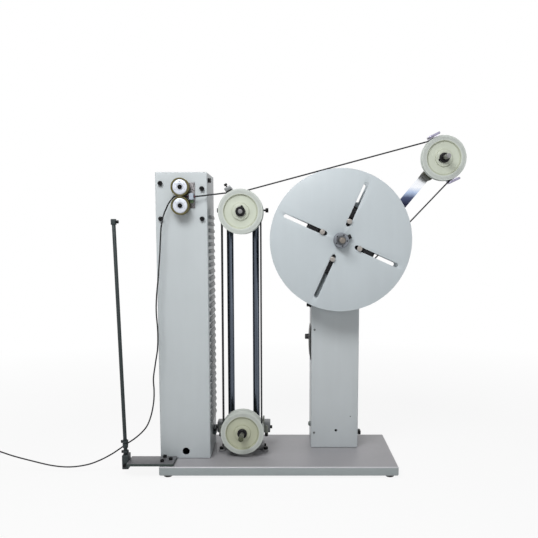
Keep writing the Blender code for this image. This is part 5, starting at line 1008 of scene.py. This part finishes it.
settle(slottedDisc(frontLow.y, frontHigh.y), "frontDisc", "disc_grey", "reel", replaced=("front_disc",))
settle(slottedDisc(rearFace, rearHigh.y), "rearDisc", "disc_grey", "reel", replaced=("rear_disc",))
discard(slotTool)
head, pinFront, pinRear = reel["pinHead"], rearLow.y, rearFace - reel["flangeGap"]
masterPin = turned([(0, pinFront), (head - 0.001, pinFront), (head, pinFront + 0.001), (head, frontLow.y - seatGap),
                    (reel["pin"], frontLow.y - seatGap), (reel["pin"], pinRear), (reel["pinFlange"], pinRear),
                    (reel["pinFlange"], rearFace + reel["flangeSunk"]), (0, rearFace + reel["flangeSunk"])],
                   reelCentre, "Y", 36)
for number, pin in enumerate(around(masterPin, reel["slots"], reel["pinCircle"], reel["angle"]), 1):
    settle(pin, "reelPin" + str(number), "bright_steel", "reel", pinSteel)

clampHub = {"radius": 0.0215, "bore": 0.0087,
            "face": [(0.0087, 0.0010), (0.0115, 0.0010), (0.0125, 0), (0.0195, 0), (0.0215, 0.0020)],
            "setScrews": 5, "setCircle": 0.0160, "setHole": 0.0023, "setBore": 0.0007, "setRadius": 0.0022,
            "thumbAngle": math.radians(24), "thumbLift": 0.0005, "thumbScale": 0.95}
hubLow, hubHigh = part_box("clamp_collar")
hubRear = [(clampHub["radius"], hubHigh.y - 0.0008), (clampHub["radius"] - 0.0006, hubHigh.y),
           (clampHub["bore"], hubHigh.y)]
clamp = turned(closed(facing(clampHub["face"], hubLow.y) + hubRear), reelCentre, "Y", 80, 0.0003)
setTool = drilled((reelX, hubLow.y, reelZ), clampHub["setHole"], reach=0.005, sides=18)
cutOut(clamp, joined(*around(setTool, clampHub["setScrews"], clampHub["setCircle"], reel["angle"])))
settle(clamp, "clampCollar", "grey_block", "reel", clampSteel, replaced=("clamp_collar",))
setScrew = turned(ringProfile(clampHub["setBore"], clampHub["setRadius"], hubLow.y - 0.0006, hubLow.y + 0.0030),
                  reelCentre, "Y", 14, 0)
settle(joined(*around(setScrew, clampHub["setScrews"], clampHub["setCircle"], reel["angle"])), "clampSetScrews",
       "black_plastic", "reel", blackOxide)
out = Vector((math.cos(clampHub["thumbAngle"]), 0, math.sin(clampHub["thumbAngle"])))
seat = Vector((reelX, (hubLow.y + hubHigh.y) / 2, reelZ)) + out * (clampHub["radius"] + clampHub["thumbLift"])
screwSet("clampThumbScrew", [(seat, out)], "reel", "grey_block", clampHub["thumbScale"])

reelShaft = {"radius": 0.0085, "chamfer": 0.0015, "flange": 0.030, "flangeGap": 0.0004, "housing": 0.034,
             "housingBore": 0.0089, "housingNeck": 0.024, "housingChamfer": (0.0015, 0.0012)}
shaftLow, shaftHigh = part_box("reel_shaft")
housingLow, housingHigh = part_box("reel_bearing_housing")
radius, flangeFront, flangeRear = reelShaft["radius"], rearHigh.y + seatGap, housingLow.y - reelShaft["flangeGap"]
shaft = turned([(0, shaftLow.y), (radius - reelShaft["chamfer"], shaftLow.y),
                (radius, shaftLow.y + reelShaft["chamfer"]),
                (radius, flangeFront), (reelShaft["flange"], flangeFront), (reelShaft["flange"], flangeRear),
                (radius, flangeRear), (radius, shaftHigh.y), (0, shaftHigh.y)], reelCentre, "Y", 64, 0.0003)
settle(shaft, "reelShaft", "bright_steel", "reel", shaftSteel, replaced=("reel_shaft",))
across, down = reelShaft["housingChamfer"]
housing = turned(closed([(reelShaft["housingBore"], housingLow.y), (reelShaft["housing"] - across, housingLow.y),
                         (reelShaft["housing"], housingLow.y + down), (reelShaft["housing"], columnFront - seatGap),
                         (reelShaft["housingNeck"], columnFront - seatGap), (reelShaft["housingNeck"], housingHigh.y),
                         (reelShaft["housingBore"], housingHigh.y)]), reelCentre, "Y", 72, 0.0003)
settle(housing, "reelBearingHousing", "grey_block", "frame", replaced=("reel_bearing_housing",))

# Wire on the reel: the outer layer in one helix, and the inner layers' ends as flat spirals on a plain core
coil = {"loops": 14, "pitch": 0.0048, "radius": 0.1010, "perLoop": 72, "inner": 0.0700, "spiralPitch": 0.0043,
        "spiralIn": 0.0046, "lift": 0.0042, "frontGap": 0.0006, "faceGaps": (0.0003, 0.0023),
        "core": (0.0685, 0.0975), "coreEnds": (0.0030, 0.0050)}
tip, runRadius, wireRadius = Vector((armPulley.x, 0, armPulley.z)), sheave["wire"], tailWire["diameter"] / 2


def tangentAngle(first, firstRadius, second, secondRadius, side):
    gap = second - first
    heading = math.atan2(gap.z, gap.x)
    return heading + side * (math.pi / 2 - math.asin((firstRadius - secondRadius) / gap.length))


def onCircle(centre, radius, angle, y):
    return Vector((centre.x + radius * math.cos(angle), y, centre.z + radius * math.sin(angle)))


def arcPoints(centre, radius, start, end, y):
    count = max(3, math.ceil(abs(end - start) / math.radians(4)))
    return [onCircle(centre, radius, start + (end - start) * step / count, y) for step in range(count + 1)]


def straight(first, second, count=24):
    return [first + (second - first) * step / count for step in range(count + 1)]


leaveRadius = coil["radius"] + coil["lift"]                # clear of the wound layer as it turns
leave = tangentAngle(reelCentre, leaveRadius, tip, runRadius, -1)
coilFrontY = frontHigh.y + wireRadius + coil["frontGap"]
total = coil["loops"] * coil["perLoop"]
helix = []
for step in range(total + 1):
    left = coil["loops"] * (1 - step / total)              # loops still to come
    helix.append(onCircle(reelCentre, coil["radius"], leave - math.tau * left, coilFrontY + coil["pitch"] * left))
wireRun("woundWire", helix, "reel", sides=3, replaced=("wire_coil",))
rounds = (coil["radius"] - coil["spiralIn"] - coil["inner"]) / coil["spiralPitch"]
count = int(rounds * coil["perLoop"])
frontGap, rearGap = coil["faceGaps"]
for name, y in (("woundFrontFace", frontHigh.y + wireRadius + frontGap),
                ("woundRearFace", rearFace - wireRadius - rearGap)):
    spiral = [onCircle(reelCentre, coil["inner"] + coil["spiralPitch"] * rounds * step / count,
                       math.tau * rounds * step / count, y) for step in range(count + 1)]
    wireRun(name, spiral, "reel", sides=3)
coreLow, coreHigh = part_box("coil_core")
core = turned(ringProfile(*coil["core"], coreLow.y + coil["coreEnds"][0], coreHigh.y - coil["coreEnds"][1]), reelCentre,
              "Y", 96, 0.0010)
settle(core, "woundCore", "wire_jacket", "reel", replaced=("coil_core",))
print("stage: reel made")

# Dancer arm: a bar with a round eye, laid flat along x and then turned up about its pivot
arm = {"angle": math.radians(50.4), "length": 0.4120, "width": 0.0270, "overrun": 0.012, "eye": 0.020, "edge": 0.0010,
       "pivotBore": 0.0064, "axleBore": 0.0068, "blockFrom": 0.347, "blockHalf": 0.0143, "blockEdge": 0.0020,
       "studHead": 0.010, "studPin": 0.006, "studChamfer": (0.001, 0.0008), "studGap": 0.0004}
armFront, armRear = [corner.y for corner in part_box("dancer_arm")]
armEnd, armHalf = arm["length"] + arm["overrun"], arm["width"] / 2
pivot = Vector((armPivot.x, 0, armPivot.z))
armTurn = Matrix.Translation(pivot) @ Matrix.Rotation(-arm["angle"], 4, "Y")
bar = blocked((0, armFront, -armHalf), (armEnd, armRear, armHalf), 0)
combine(bar, "UNION", turned(rodProfile(arm["eye"], armFront, armRear), sides=64, edge=0))
cutOut(bar, drilled((0, armFront, 0), arm["pivotBore"], sides=32),
       drilled((arm["length"], armFront, 0), arm["axleBore"], sides=32))
roundEdges(bar, arm["edge"], 3, 50)
bar.data.transform(armTurn)
settle(bar, "dancerArm", "chromed_steel", "dancer_arm", armChrome, replaced=("dancer_arm",))
blockLow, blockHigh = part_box("arm_end_block")
endBlock = blocked((arm["blockFrom"], blockLow.y, -arm["blockHalf"]), (armEnd, blockHigh.y, arm["blockHalf"]),
                   arm["blockEdge"], 3)
cutOut(endBlock, drilled((arm["length"], (blockLow.y + blockHigh.y) / 2, 0), arm["axleBore"], "Y", 0.04, 32))
endBlock.data.transform(armTurn)
settle(endBlock, "armEndBlock", "olive_block", "dancer_arm", replaced=("arm_end_block",))
studLow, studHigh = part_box("arm_pivot_stud")
head, pin, gap = arm["studHead"], arm["studPin"], arm["studGap"]
across, down = arm["studChamfer"]
stud = turned([(0, studLow.y), (head - across, studLow.y), (head, studLow.y + down), (head, armFront - gap),
               (pin, armFront - gap), (pin, armRear + gap), (head, armRear + gap), (head, columnFront - seatGap),
               (pin, columnFront - seatGap), (pin, studHigh.y), (0, studHigh.y)], pivot, "Y", 40, 0.0002)
settle(stud, "armPivotStud", "bright_steel", "frame", replaced=("arm_pivot_stud",))

# Wire guard: a bent strap over the arm's pulley, with a round bar along each lip
guard = {"angle": math.radians(115.5), "width": 0.034, "wall": 0.003, "reach": 0.0700, "bend": 0.004, "bendSteps": 6,
         "bore": 0.0068, "edge": 0.0005, "bar": 0.0031}
guardLow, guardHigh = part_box("wire_guard")
reach, halfWidth, lipRadius = guard["reach"], guard["width"] / 2, guard["bar"]
backY, lipY = guardHigh.y - guard["wall"] / 2, guardLow.y + lipRadius
corner = []
for step in range(guard["bendSteps"] + 1):
    angle = math.pi / 2 * step / guard["bendSteps"]
    corner.append((guard["bend"] * (1 - math.cos(angle)), backY - guard["bend"] * (1 - math.sin(angle))))
line = [(-reach, lipY)] + [(x - reach, y) for x, y in corner]
line += [(reach - x, y) for x, y in reversed(corner)] + [(reach, lipY)]
clearPick()
bpy.ops.mesh.primitive_plane_add(size=0.001)
strap = bpy.context.object
editAll(strap)
bpy.ops.mesh.merge(type="CENTER")
bpy.ops.transform.translate(value=(*line[0], -halfWidth))
for (oldX, oldY), (newX, newY) in zip(line, line[1:]):
    bpy.ops.mesh.extrude_region_move(TRANSFORM_OT_translate={"value": (newX - oldX, newY - oldY, 0)})
bpy.ops.mesh.select_all(action="SELECT")
bpy.ops.mesh.extrude_region_move(TRANSFORM_OT_translate={"value": (0, 0, guard["width"])})
bpy.ops.mesh.select_all(action="SELECT")
bpy.ops.mesh.normals_make_consistent(inside=False)
bpy.ops.object.mode_set(mode="OBJECT")
applyStep(strap, "SOLIDIFY", thickness=guard["wall"], offset=0, use_even_offset=True)
editAll(strap)
bpy.ops.mesh.normals_make_consistent(inside=False)
bpy.ops.object.mode_set(mode="OBJECT")
cutOut(strap, drilled((0, backY, 0), guard["bore"], sides=32))
roundEdges(strap, guard["edge"], 2, 60)
barTop = [(lipRadius, halfWidth - lipRadius * 0.5), (lipRadius * 0.6, halfWidth), (0, halfWidth)]
lipX = reach + guard["wall"] / 2 - lipRadius
lipBar = turned([(radius, -along) for radius, along in reversed(barTop)] + barTop, (lipX, lipY, 0), "Z", 28)
lipBars = joined(lipBar, copied(lipBar, (-2 * lipX, 0, 0)))
for piece, name, finish, old in ((strap, "wireGuard", guardChrome, ("wire_guard",)),
                                 (lipBars, "guardLipBars", lipSteel, ())):
    piece.data.transform(Matrix.Translation(tip) @ Matrix.Rotation(-guard["angle"], 4, "Y"))
    settle(piece, name, "chromed_steel", "dancer_arm", finish, replaced=old, smooth=40)
print("stage: dancer arm made")

# The wire's runs between reel, arm, sheaves and rollers
reeving = {"travel": 0.450, "feedLeave": math.radians(95.5), "guideReach": 0.0125, "nipLeft": 0.004}
upperPlanes = [middle("upper_sheave_" + word).y for word in ("front", "middle", "rear")]
lowerPlanes = [middle("lower_sheave_" + word).y for word in ("front", "rear")]
depart = tangentAngle(tip, runRadius, accTop, runRadius, -1) + math.tau
spanStart = onCircle(reelCentre, leaveRadius, leave, coilFrontY)
spanEnd = onCircle(tip, runRadius, leave, armPulley.y)
joinStart = onCircle(tip, runRadius, depart, armPulley.y)
joinEnd = onCircle(accTop, runRadius, depart, upperPlanes[2])
span = wireRun("wireReelToArm", straight(spanStart, spanEnd), "blend")
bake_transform(span)
span = wireRun("wireArmToTop", straight(joinEnd, joinStart), "blend")
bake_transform(span)
wireRun("wireRoundArmPulley", arcPoints(tip, runRadius, leave, depart, armPulley.y), "dancer_arm")
wireRun("wireOverTopRear", arcPoints(accTop, runRadius, depart, math.pi, upperPlanes[2]), "frame",
        replaced=("arm_wire",))
wireRun("wireOverTopMiddle", arcPoints(accTop, runRadius, 0, math.pi, upperPlanes[1]), "frame",
        replaced=("upper_wire",))
for word, plane in zip(("front", "rear"), lowerPlanes):
    wireRun("wireUnderCarriage" + word.title(), arcPoints(accLow, runRadius, math.pi, math.tau, plane), "carriage",
            replaced=("carriage_wire_" + word,))
for index in range(4):                                     # right and left in turn, from the rear to the front
    x = accX + (runRadius if index % 2 else -runRadius)
    top = Vector((x, upperPlanes[2 - (index + 1) // 2], upperZ))
    foot = Vector((x, lowerPlanes[1 - index // 2], lowerZ))
    number = str(index + 1)
    run = wireRun("reevingWire" + number, straight(top, foot, 16), "frame", replaced=("reeving_wire_" + number,))
    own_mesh(run)
feed = arcPoints(accTop, runRadius, 0, reeving["feedLeave"], upperPlanes[0])
feed += [Vector((x, nipY, nipZ)) for x in (guideX + reeving["guideReach"], guideX - reeving["guideReach"],
                                           rollerX - reeving["nipLeft"])]
wireRun("feedWire", feed, "frame", replaced=("feed_wire",))
print("stage: wire runs made")

# Guide post: made upright on its foot, then leaned
post = {"lean": math.radians(1.46), "radius": 0.0052, "bury": 0.034, "length": 0.690, "topGap": 0.0004, "sides": 40,
        "blockInset": 0.0030, "blockEdge": 0.0016, "blockScrew": (0.0002, 0.012), "blockScrewScale": 0.7,
        "collar": 0.0088, "collarHeight": 0.008, "lifts": (0.003, 0.0325), "knob": 0.0045, "knobLength": 0.0026,
        "cap": 0.0135, "capHeight": 0.016, "capProud": 0.004, "capEdge": 0.0014,
        "capKnob": [(0, -0.001), (0.0028, -0.001), (0.0028, 0.001), (0.0045, 0.0018), (0.0045, 0.0064),
                    (0.0038, 0.0070), (0, 0.0070)]}
blockLow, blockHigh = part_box("post_block")
postFoot = Vector(((blockLow.x + blockHigh.x) / 2, (blockLow.y + blockHigh.y) / 2, blockHigh.z))
postTurn = Matrix.Translation(postFoot) @ Matrix.Rotation(-post["lean"], 4, "Y")
postTop, halfCap = post["length"] - post["bury"], post["cap"] / 2


def onPost(piece, name, slotName="dark_steel", finish=None, replaced=(), lift=0.0):
    leaned = copied(piece, turn=postTurn @ Matrix.Translation((0, 0, lift)))
    return settle(leaned, name, slotName, "frame", finish, replaced=replaced)


settle(blocked((blockLow.x + post["blockInset"], blockLow.y, blockLow.z), blockHigh, post["blockEdge"], 3),
       "postBlock", "dark_steel", "frame", replaced=("post_block",))
back, up = post["blockScrew"]
screwSet("postBlockScrew", [((postFoot.x, blockLow.y + back, blockLow.z + up), (0, -1, 0))], "frame", "dark_steel",
         post["blockScrewScale"])
stem = turned(rodProfile(post["radius"], -post["bury"], postTop - post["topGap"]), axis="Z", sides=post["sides"],
              edge=0.0003)
onPost(stem, "guidePost", replaced=("guide_post",))
collar = turned(ringProfile(post["radius"], post["collar"], 0, post["collarHeight"]), axis="Z", sides=post["sides"],
                edge=0.0006)
near, far, knobRadius = -post["collar"], -post["collar"] - post["knobLength"], post["knob"]
knob = turned([(0, far), (knobRadius - 0.0008, far), (knobRadius, far + 0.0008), (knobRadius, near - 0.001),
               (knobRadius * 0.6, near), (knobRadius * 0.6, near + 0.002), (0, near + 0.002)],
              (0, 0, post["collarHeight"] / 2), "X", 24)
for number, lift in enumerate(post["lifts"], 1):
    onPost(collar, "postCollar" + str(number), lift=lift)
    onPost(knob, "postKnob" + str(number), "black_plastic", blackOxide, lift=lift)
capTop = postTop + post["capProud"]
cap = blocked((-halfCap, -halfCap, capTop - post["capHeight"]), (halfCap, halfCap, capTop), post["capEdge"], 3)
onPost(cap, "postCap", replaced=("post_cap",))
capKnob = turned(facing(post["capKnob"], halfCap), (0, 0, capTop - post["capHeight"] / 2), "X", 24, 0.0003)
onPost(capKnob, "postCapKnob", "black_plastic", blackOxide)

eyelet = {"lift": 0.0245, "hub": 0.0076, "hubBore": 0.0053, "hubHeight": 0.013, "arm": 0.0145, "ring": 0.0086,
          "bore": 0.0048, "half": 0.0036}
hubFrom, hubTo = eyelet["lift"] - eyelet["hubHeight"] / 2, eyelet["lift"] + eyelet["hubHeight"] / 2
eyeletHub = turned(ringProfile(eyelet["hubBore"], eyelet["hub"], hubFrom, hubTo), axis="Z", sides=post["sides"],
                   edge=0.0008)
onPost(eyeletHub, "eyeletHub")
eye = turned(ringProfile(eyelet["bore"], eyelet["ring"], -eyelet["half"], eyelet["half"]),
             (0, eyelet["arm"], eyelet["lift"]), "X", post["sides"], 0.0012, 3)
onPost(eye, "wireEyelet", finish=redSleeve, replaced=("wire_eyelet",))
discard(stem, collar, knob, cap, capKnob, eyeletHub, eye)

footPlate = {"top": 0.0423, "edge": 0.0009, "screws": [(0.033, 0.012), (0.034, 0.053), (0.013, 0.034)],
             "screwScale": 0.85}
plateLow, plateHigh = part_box("foot_plate")
settle(blocked(plateLow, (plateHigh.x, plateHigh.y, footPlate["top"]), footPlate["edge"], 2), "footPlate", "dark_steel",
       "frame", plateBlack, replaced=("foot_plate",))
screwSet("footPlateScrews", [((plateHigh.x - x, plateHigh.y - y, footPlate["top"]), (0, 0, 1))
                             for x, y in footPlate["screws"]], "frame", "dark_steel", footPlate["screwScale"])

# Small fittings on the column's sides, drawn outwards from each side
fitting = {"gland": [(0, -0.0003), (0.0082, -0.0003), (0.0082, -0.0035), (0.0060, -0.0042), (0.0060, -0.0064),
                     (0.0030, -0.0072), (0, -0.0072)], "glandPlace": (0.060, 0.0985),
           "inlet": [(0, -0.0003), (0.0072, -0.0003), (0.0072, -0.0050), (0.0052, -0.0062), (0.0052, -0.0125),
                     (0.0040, -0.0135), (0, -0.0135)], "inletPlace": (0.050, 0.4665),
           "switchLow": (0.0003, 0.030, 0.0710), "switchHigh": (0.0105, 0.056, 0.0840), "switchEdge": 0.0030,
           "shadeDiscFit": 1.15, "shadeDiscBack": 0.0021, "shadeDiscLength": 0.0025}
gland = turned(fitting["gland"], (columnLow.x, *fitting["glandPlace"]), "X", 24)
settle(gland, "cableGland", "black_plastic", "frame", glandGrey)
inlet = turned(fitting["inlet"], (columnLow.x, *fitting["inletPlace"]), "X", 28, 0.0005)
settle(inlet, "sideInlet", "black_plastic", "frame", blackOxide)
columnRight = Vector((columnHigh.x, 0, 0))
sideSwitch = blocked(columnRight + Vector(fitting["switchLow"]), columnRight + Vector(fitting["switchHigh"]),
                     fitting["switchEdge"], 4)
settle(sideSwitch, "sideSwitch", "black_plastic", "frame", blackOxide)
# black discs just behind the column's two holes, so that the holes read dark: painted shade
holeShadeDiscs = [turned(rodProfile(radius * fitting["shadeDiscFit"], 0.0, fitting["shadeDiscLength"]),
                (baseMidX + x, columnFront + fitting["shadeDiscBack"], z), "Y", 24, 0)
         for x, z, radius, sides in (column["smallHole"], column["wideHole"])]
settle(joined(*holeShadeDiscs), "columnPlugs", "black_plastic", "frame", blackOxide)

# Control panel with a bowed face, and its fluted knob
panel = {"bow": 0.0052, "edge": 0.0007}
panelLow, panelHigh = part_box("control_plate")
panelX, panelMid = columnLow.x - seatGap, (panelLow + panelHigh) / 2
bowed = bowedStart(96, panelHigh.y - panelLow.y, (panelX, panelMid.y, panelMid.z), panel["bow"],
                   (panelHigh.z - panelLow.z) / 2)
bpy.ops.mesh.bisect(plane_co=(panelX, 0, 0), plane_no=(1, 0, 0), use_fill=True, clear_outer=True)
bpy.ops.object.mode_set(mode="OBJECT")
roundEdges(bowed, panel["edge"], 2, 50)
settle(bowed, "controlPanel", "black_plastic", "frame", replaced=("control_plate",))
dial = {"radius": 0.0086, "front": 0.0040, "face": [(0, 0), (0.0064, 0), (0.0078, 0.0010)],
        "skirt": (0.0082, 0.0024, 0.0020), "flutes": 12, "flute": 0.0011, "fluteReach": 0.0060, "fluteBack": 0.001}
knobLow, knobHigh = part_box("control_knob")
dialX, dialMid = knobLow.x + dial["front"], middle("control_knob")
neckRadius, neckFrom, skirtFrom = dial["skirt"]
dialSkirt = [(neckRadius, knobHigh.x - neckFrom), (dial["radius"], knobHigh.x - skirtFrom),
             (dial["radius"], knobHigh.x), (0, knobHigh.x)]
dialPiece = turned(facing(dial["face"], dialX) + dialSkirt, (0, dialMid.y, dialMid.z), "X", 60, 0.0003)
flute = drilled((dialX + dial["fluteBack"], dialMid.y, dialMid.z), dial["flute"], "X", dial["fluteReach"], 12)
cutOut(dialPiece, joined(*around(flute, dial["flutes"], dial["radius"], 0, "X")))
settle(dialPiece, "controlKnob", "black_plastic", "control_knob", replaced=("control_knob",))

limitSwitch = {"drop": 0.0035, "edge": 0.0014, "roller": 0.0034, "rollerEnds": (-0.004, 0.003), "rollerDrop": 0.008,
               "rollerEdge": 0.0006}
switchLow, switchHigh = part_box("limit_switch")
drop = Vector((0, 0, limitSwitch["drop"]))
settle(blocked(switchLow - drop, switchHigh - drop, limitSwitch["edge"], 3), "limitSwitch", "motor_casing", "frame",
       switchGrey, replaced=("limit_switch",))
switchRoller = turned(rodProfile(limitSwitch["roller"], *[switchLow.y + end for end in limitSwitch["rollerEnds"]]),
                      ((switchLow.x + switchHigh.x) / 2, 0, switchHigh.z - limitSwitch["rollerDrop"]), "Y", 24,
                      limitSwitch["rollerEdge"])
settle(switchRoller, "limitSwitchRoller", "black_plastic", "frame", blackOxide)

# Finishes of the CAD nodes that stay
kept = {"motor_plate": finishes["bright_steel"], "feed_motor": finishes["motor_casing"],
        "reel_motor": finishes["motor_casing"], "lower_feed_shaft": blackOxide, "upper_feed_shaft": blackOxide}
for cadName, finish in kept.items():
    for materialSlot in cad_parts[cadName].material_slots:
        materialSlot.material = finish.material
discard(masterScrew)
print("stage: small fittings made")

# Pale floor that glows to white further out and keeps the shadow near the machine
studio = {"floorSize": 30, "floorColour": (0.86, 0.86, 0.86), "floorWhite": 0.90, "clearFrom": 0.9, "clearTo": 2.6,
          "worldLight": 0.19}
clearPick()
bpy.ops.mesh.primitive_plane_add(size=studio["floorSize"])
floor = bpy.context.object
floor.name = "studioFloor"
paper = Finish("studioWhite", studio["floorColour"], 0.8)
floor.data.materials.append(paper.material)
reachOut = paper.add("VectorMath", {"operation": "LENGTH"}, {0: paper.place}, "Value")
clear = ((reachOut - studio["clearFrom"]) / (studio["clearTo"] - studio["clearFrom"])).limit()
share = paper.seenDirectly() * (clear * (1 - studio["floorWhite"]) + studio["floorWhite"])
glow = paper.add("Emission", {}, {"Color": (1.0, 1.0, 1.0), "Strength": 1.0})
lit = Socket(paper, paper.shader.outputs[0])
paper.feed(paper.tree.nodes["Material Output"].inputs["Surface"],
           paper.add("MixShader", {}, {0: share, 1: lit, 2: glow}))

# Three soft boxes, and a world that lights plainly and shows white
softBoxes = {
    "keySoftbox": {"place": (-0.55, -1.45, 1.85), "target": (0, 0, 0.75), "size": (1.0, 0.7), "power": 25},
    "fillSoftbox": {"place": (1.9, -2.3, 0.9), "target": (0.2, 0, 0.2), "size": (1.6, 1.6), "power": 6.5},
    "topSoftbox": {"place": (0.2, -1.3, 2.8), "target": (0, 0, 0.3), "size": (3.0, 1.8), "power": 9},
}
for name, box in softBoxes.items():
    clearPick()
    bpy.ops.object.light_add(type="AREA", location=box["place"])
    lamp = bpy.context.object
    lamp.name = name
    lamp.data.shape = "RECTANGLE"
    lamp.data.size, lamp.data.size_y = box["size"]
    lamp.data.energy = box["power"]
    lamp.visible_camera = False
    lamp.rotation_euler = (Vector(box["target"]) - Vector(box["place"])).to_track_quat("-Z", "Y").to_euler()
world = bpy.data.worlds.new("studioWorld")
bpy.context.scene.world = world
world.use_nodes = True
sky = NodeTree(world.node_tree)
plain, white = [sky.add("Background", {}, {"Color": (1.0, 1.0, 1.0), "Strength": strength})
                for strength in (studio["worldLight"], 1.0)]
sky.feed(sky.tree.nodes["World Output"].inputs["Surface"],
         sky.add("MixShader", {}, {0: sky.seenDirectly(), 1: plain, 2: white}))
bpy.context.scene.view_settings.view_transform = "Standard"

print("stage: lights set")
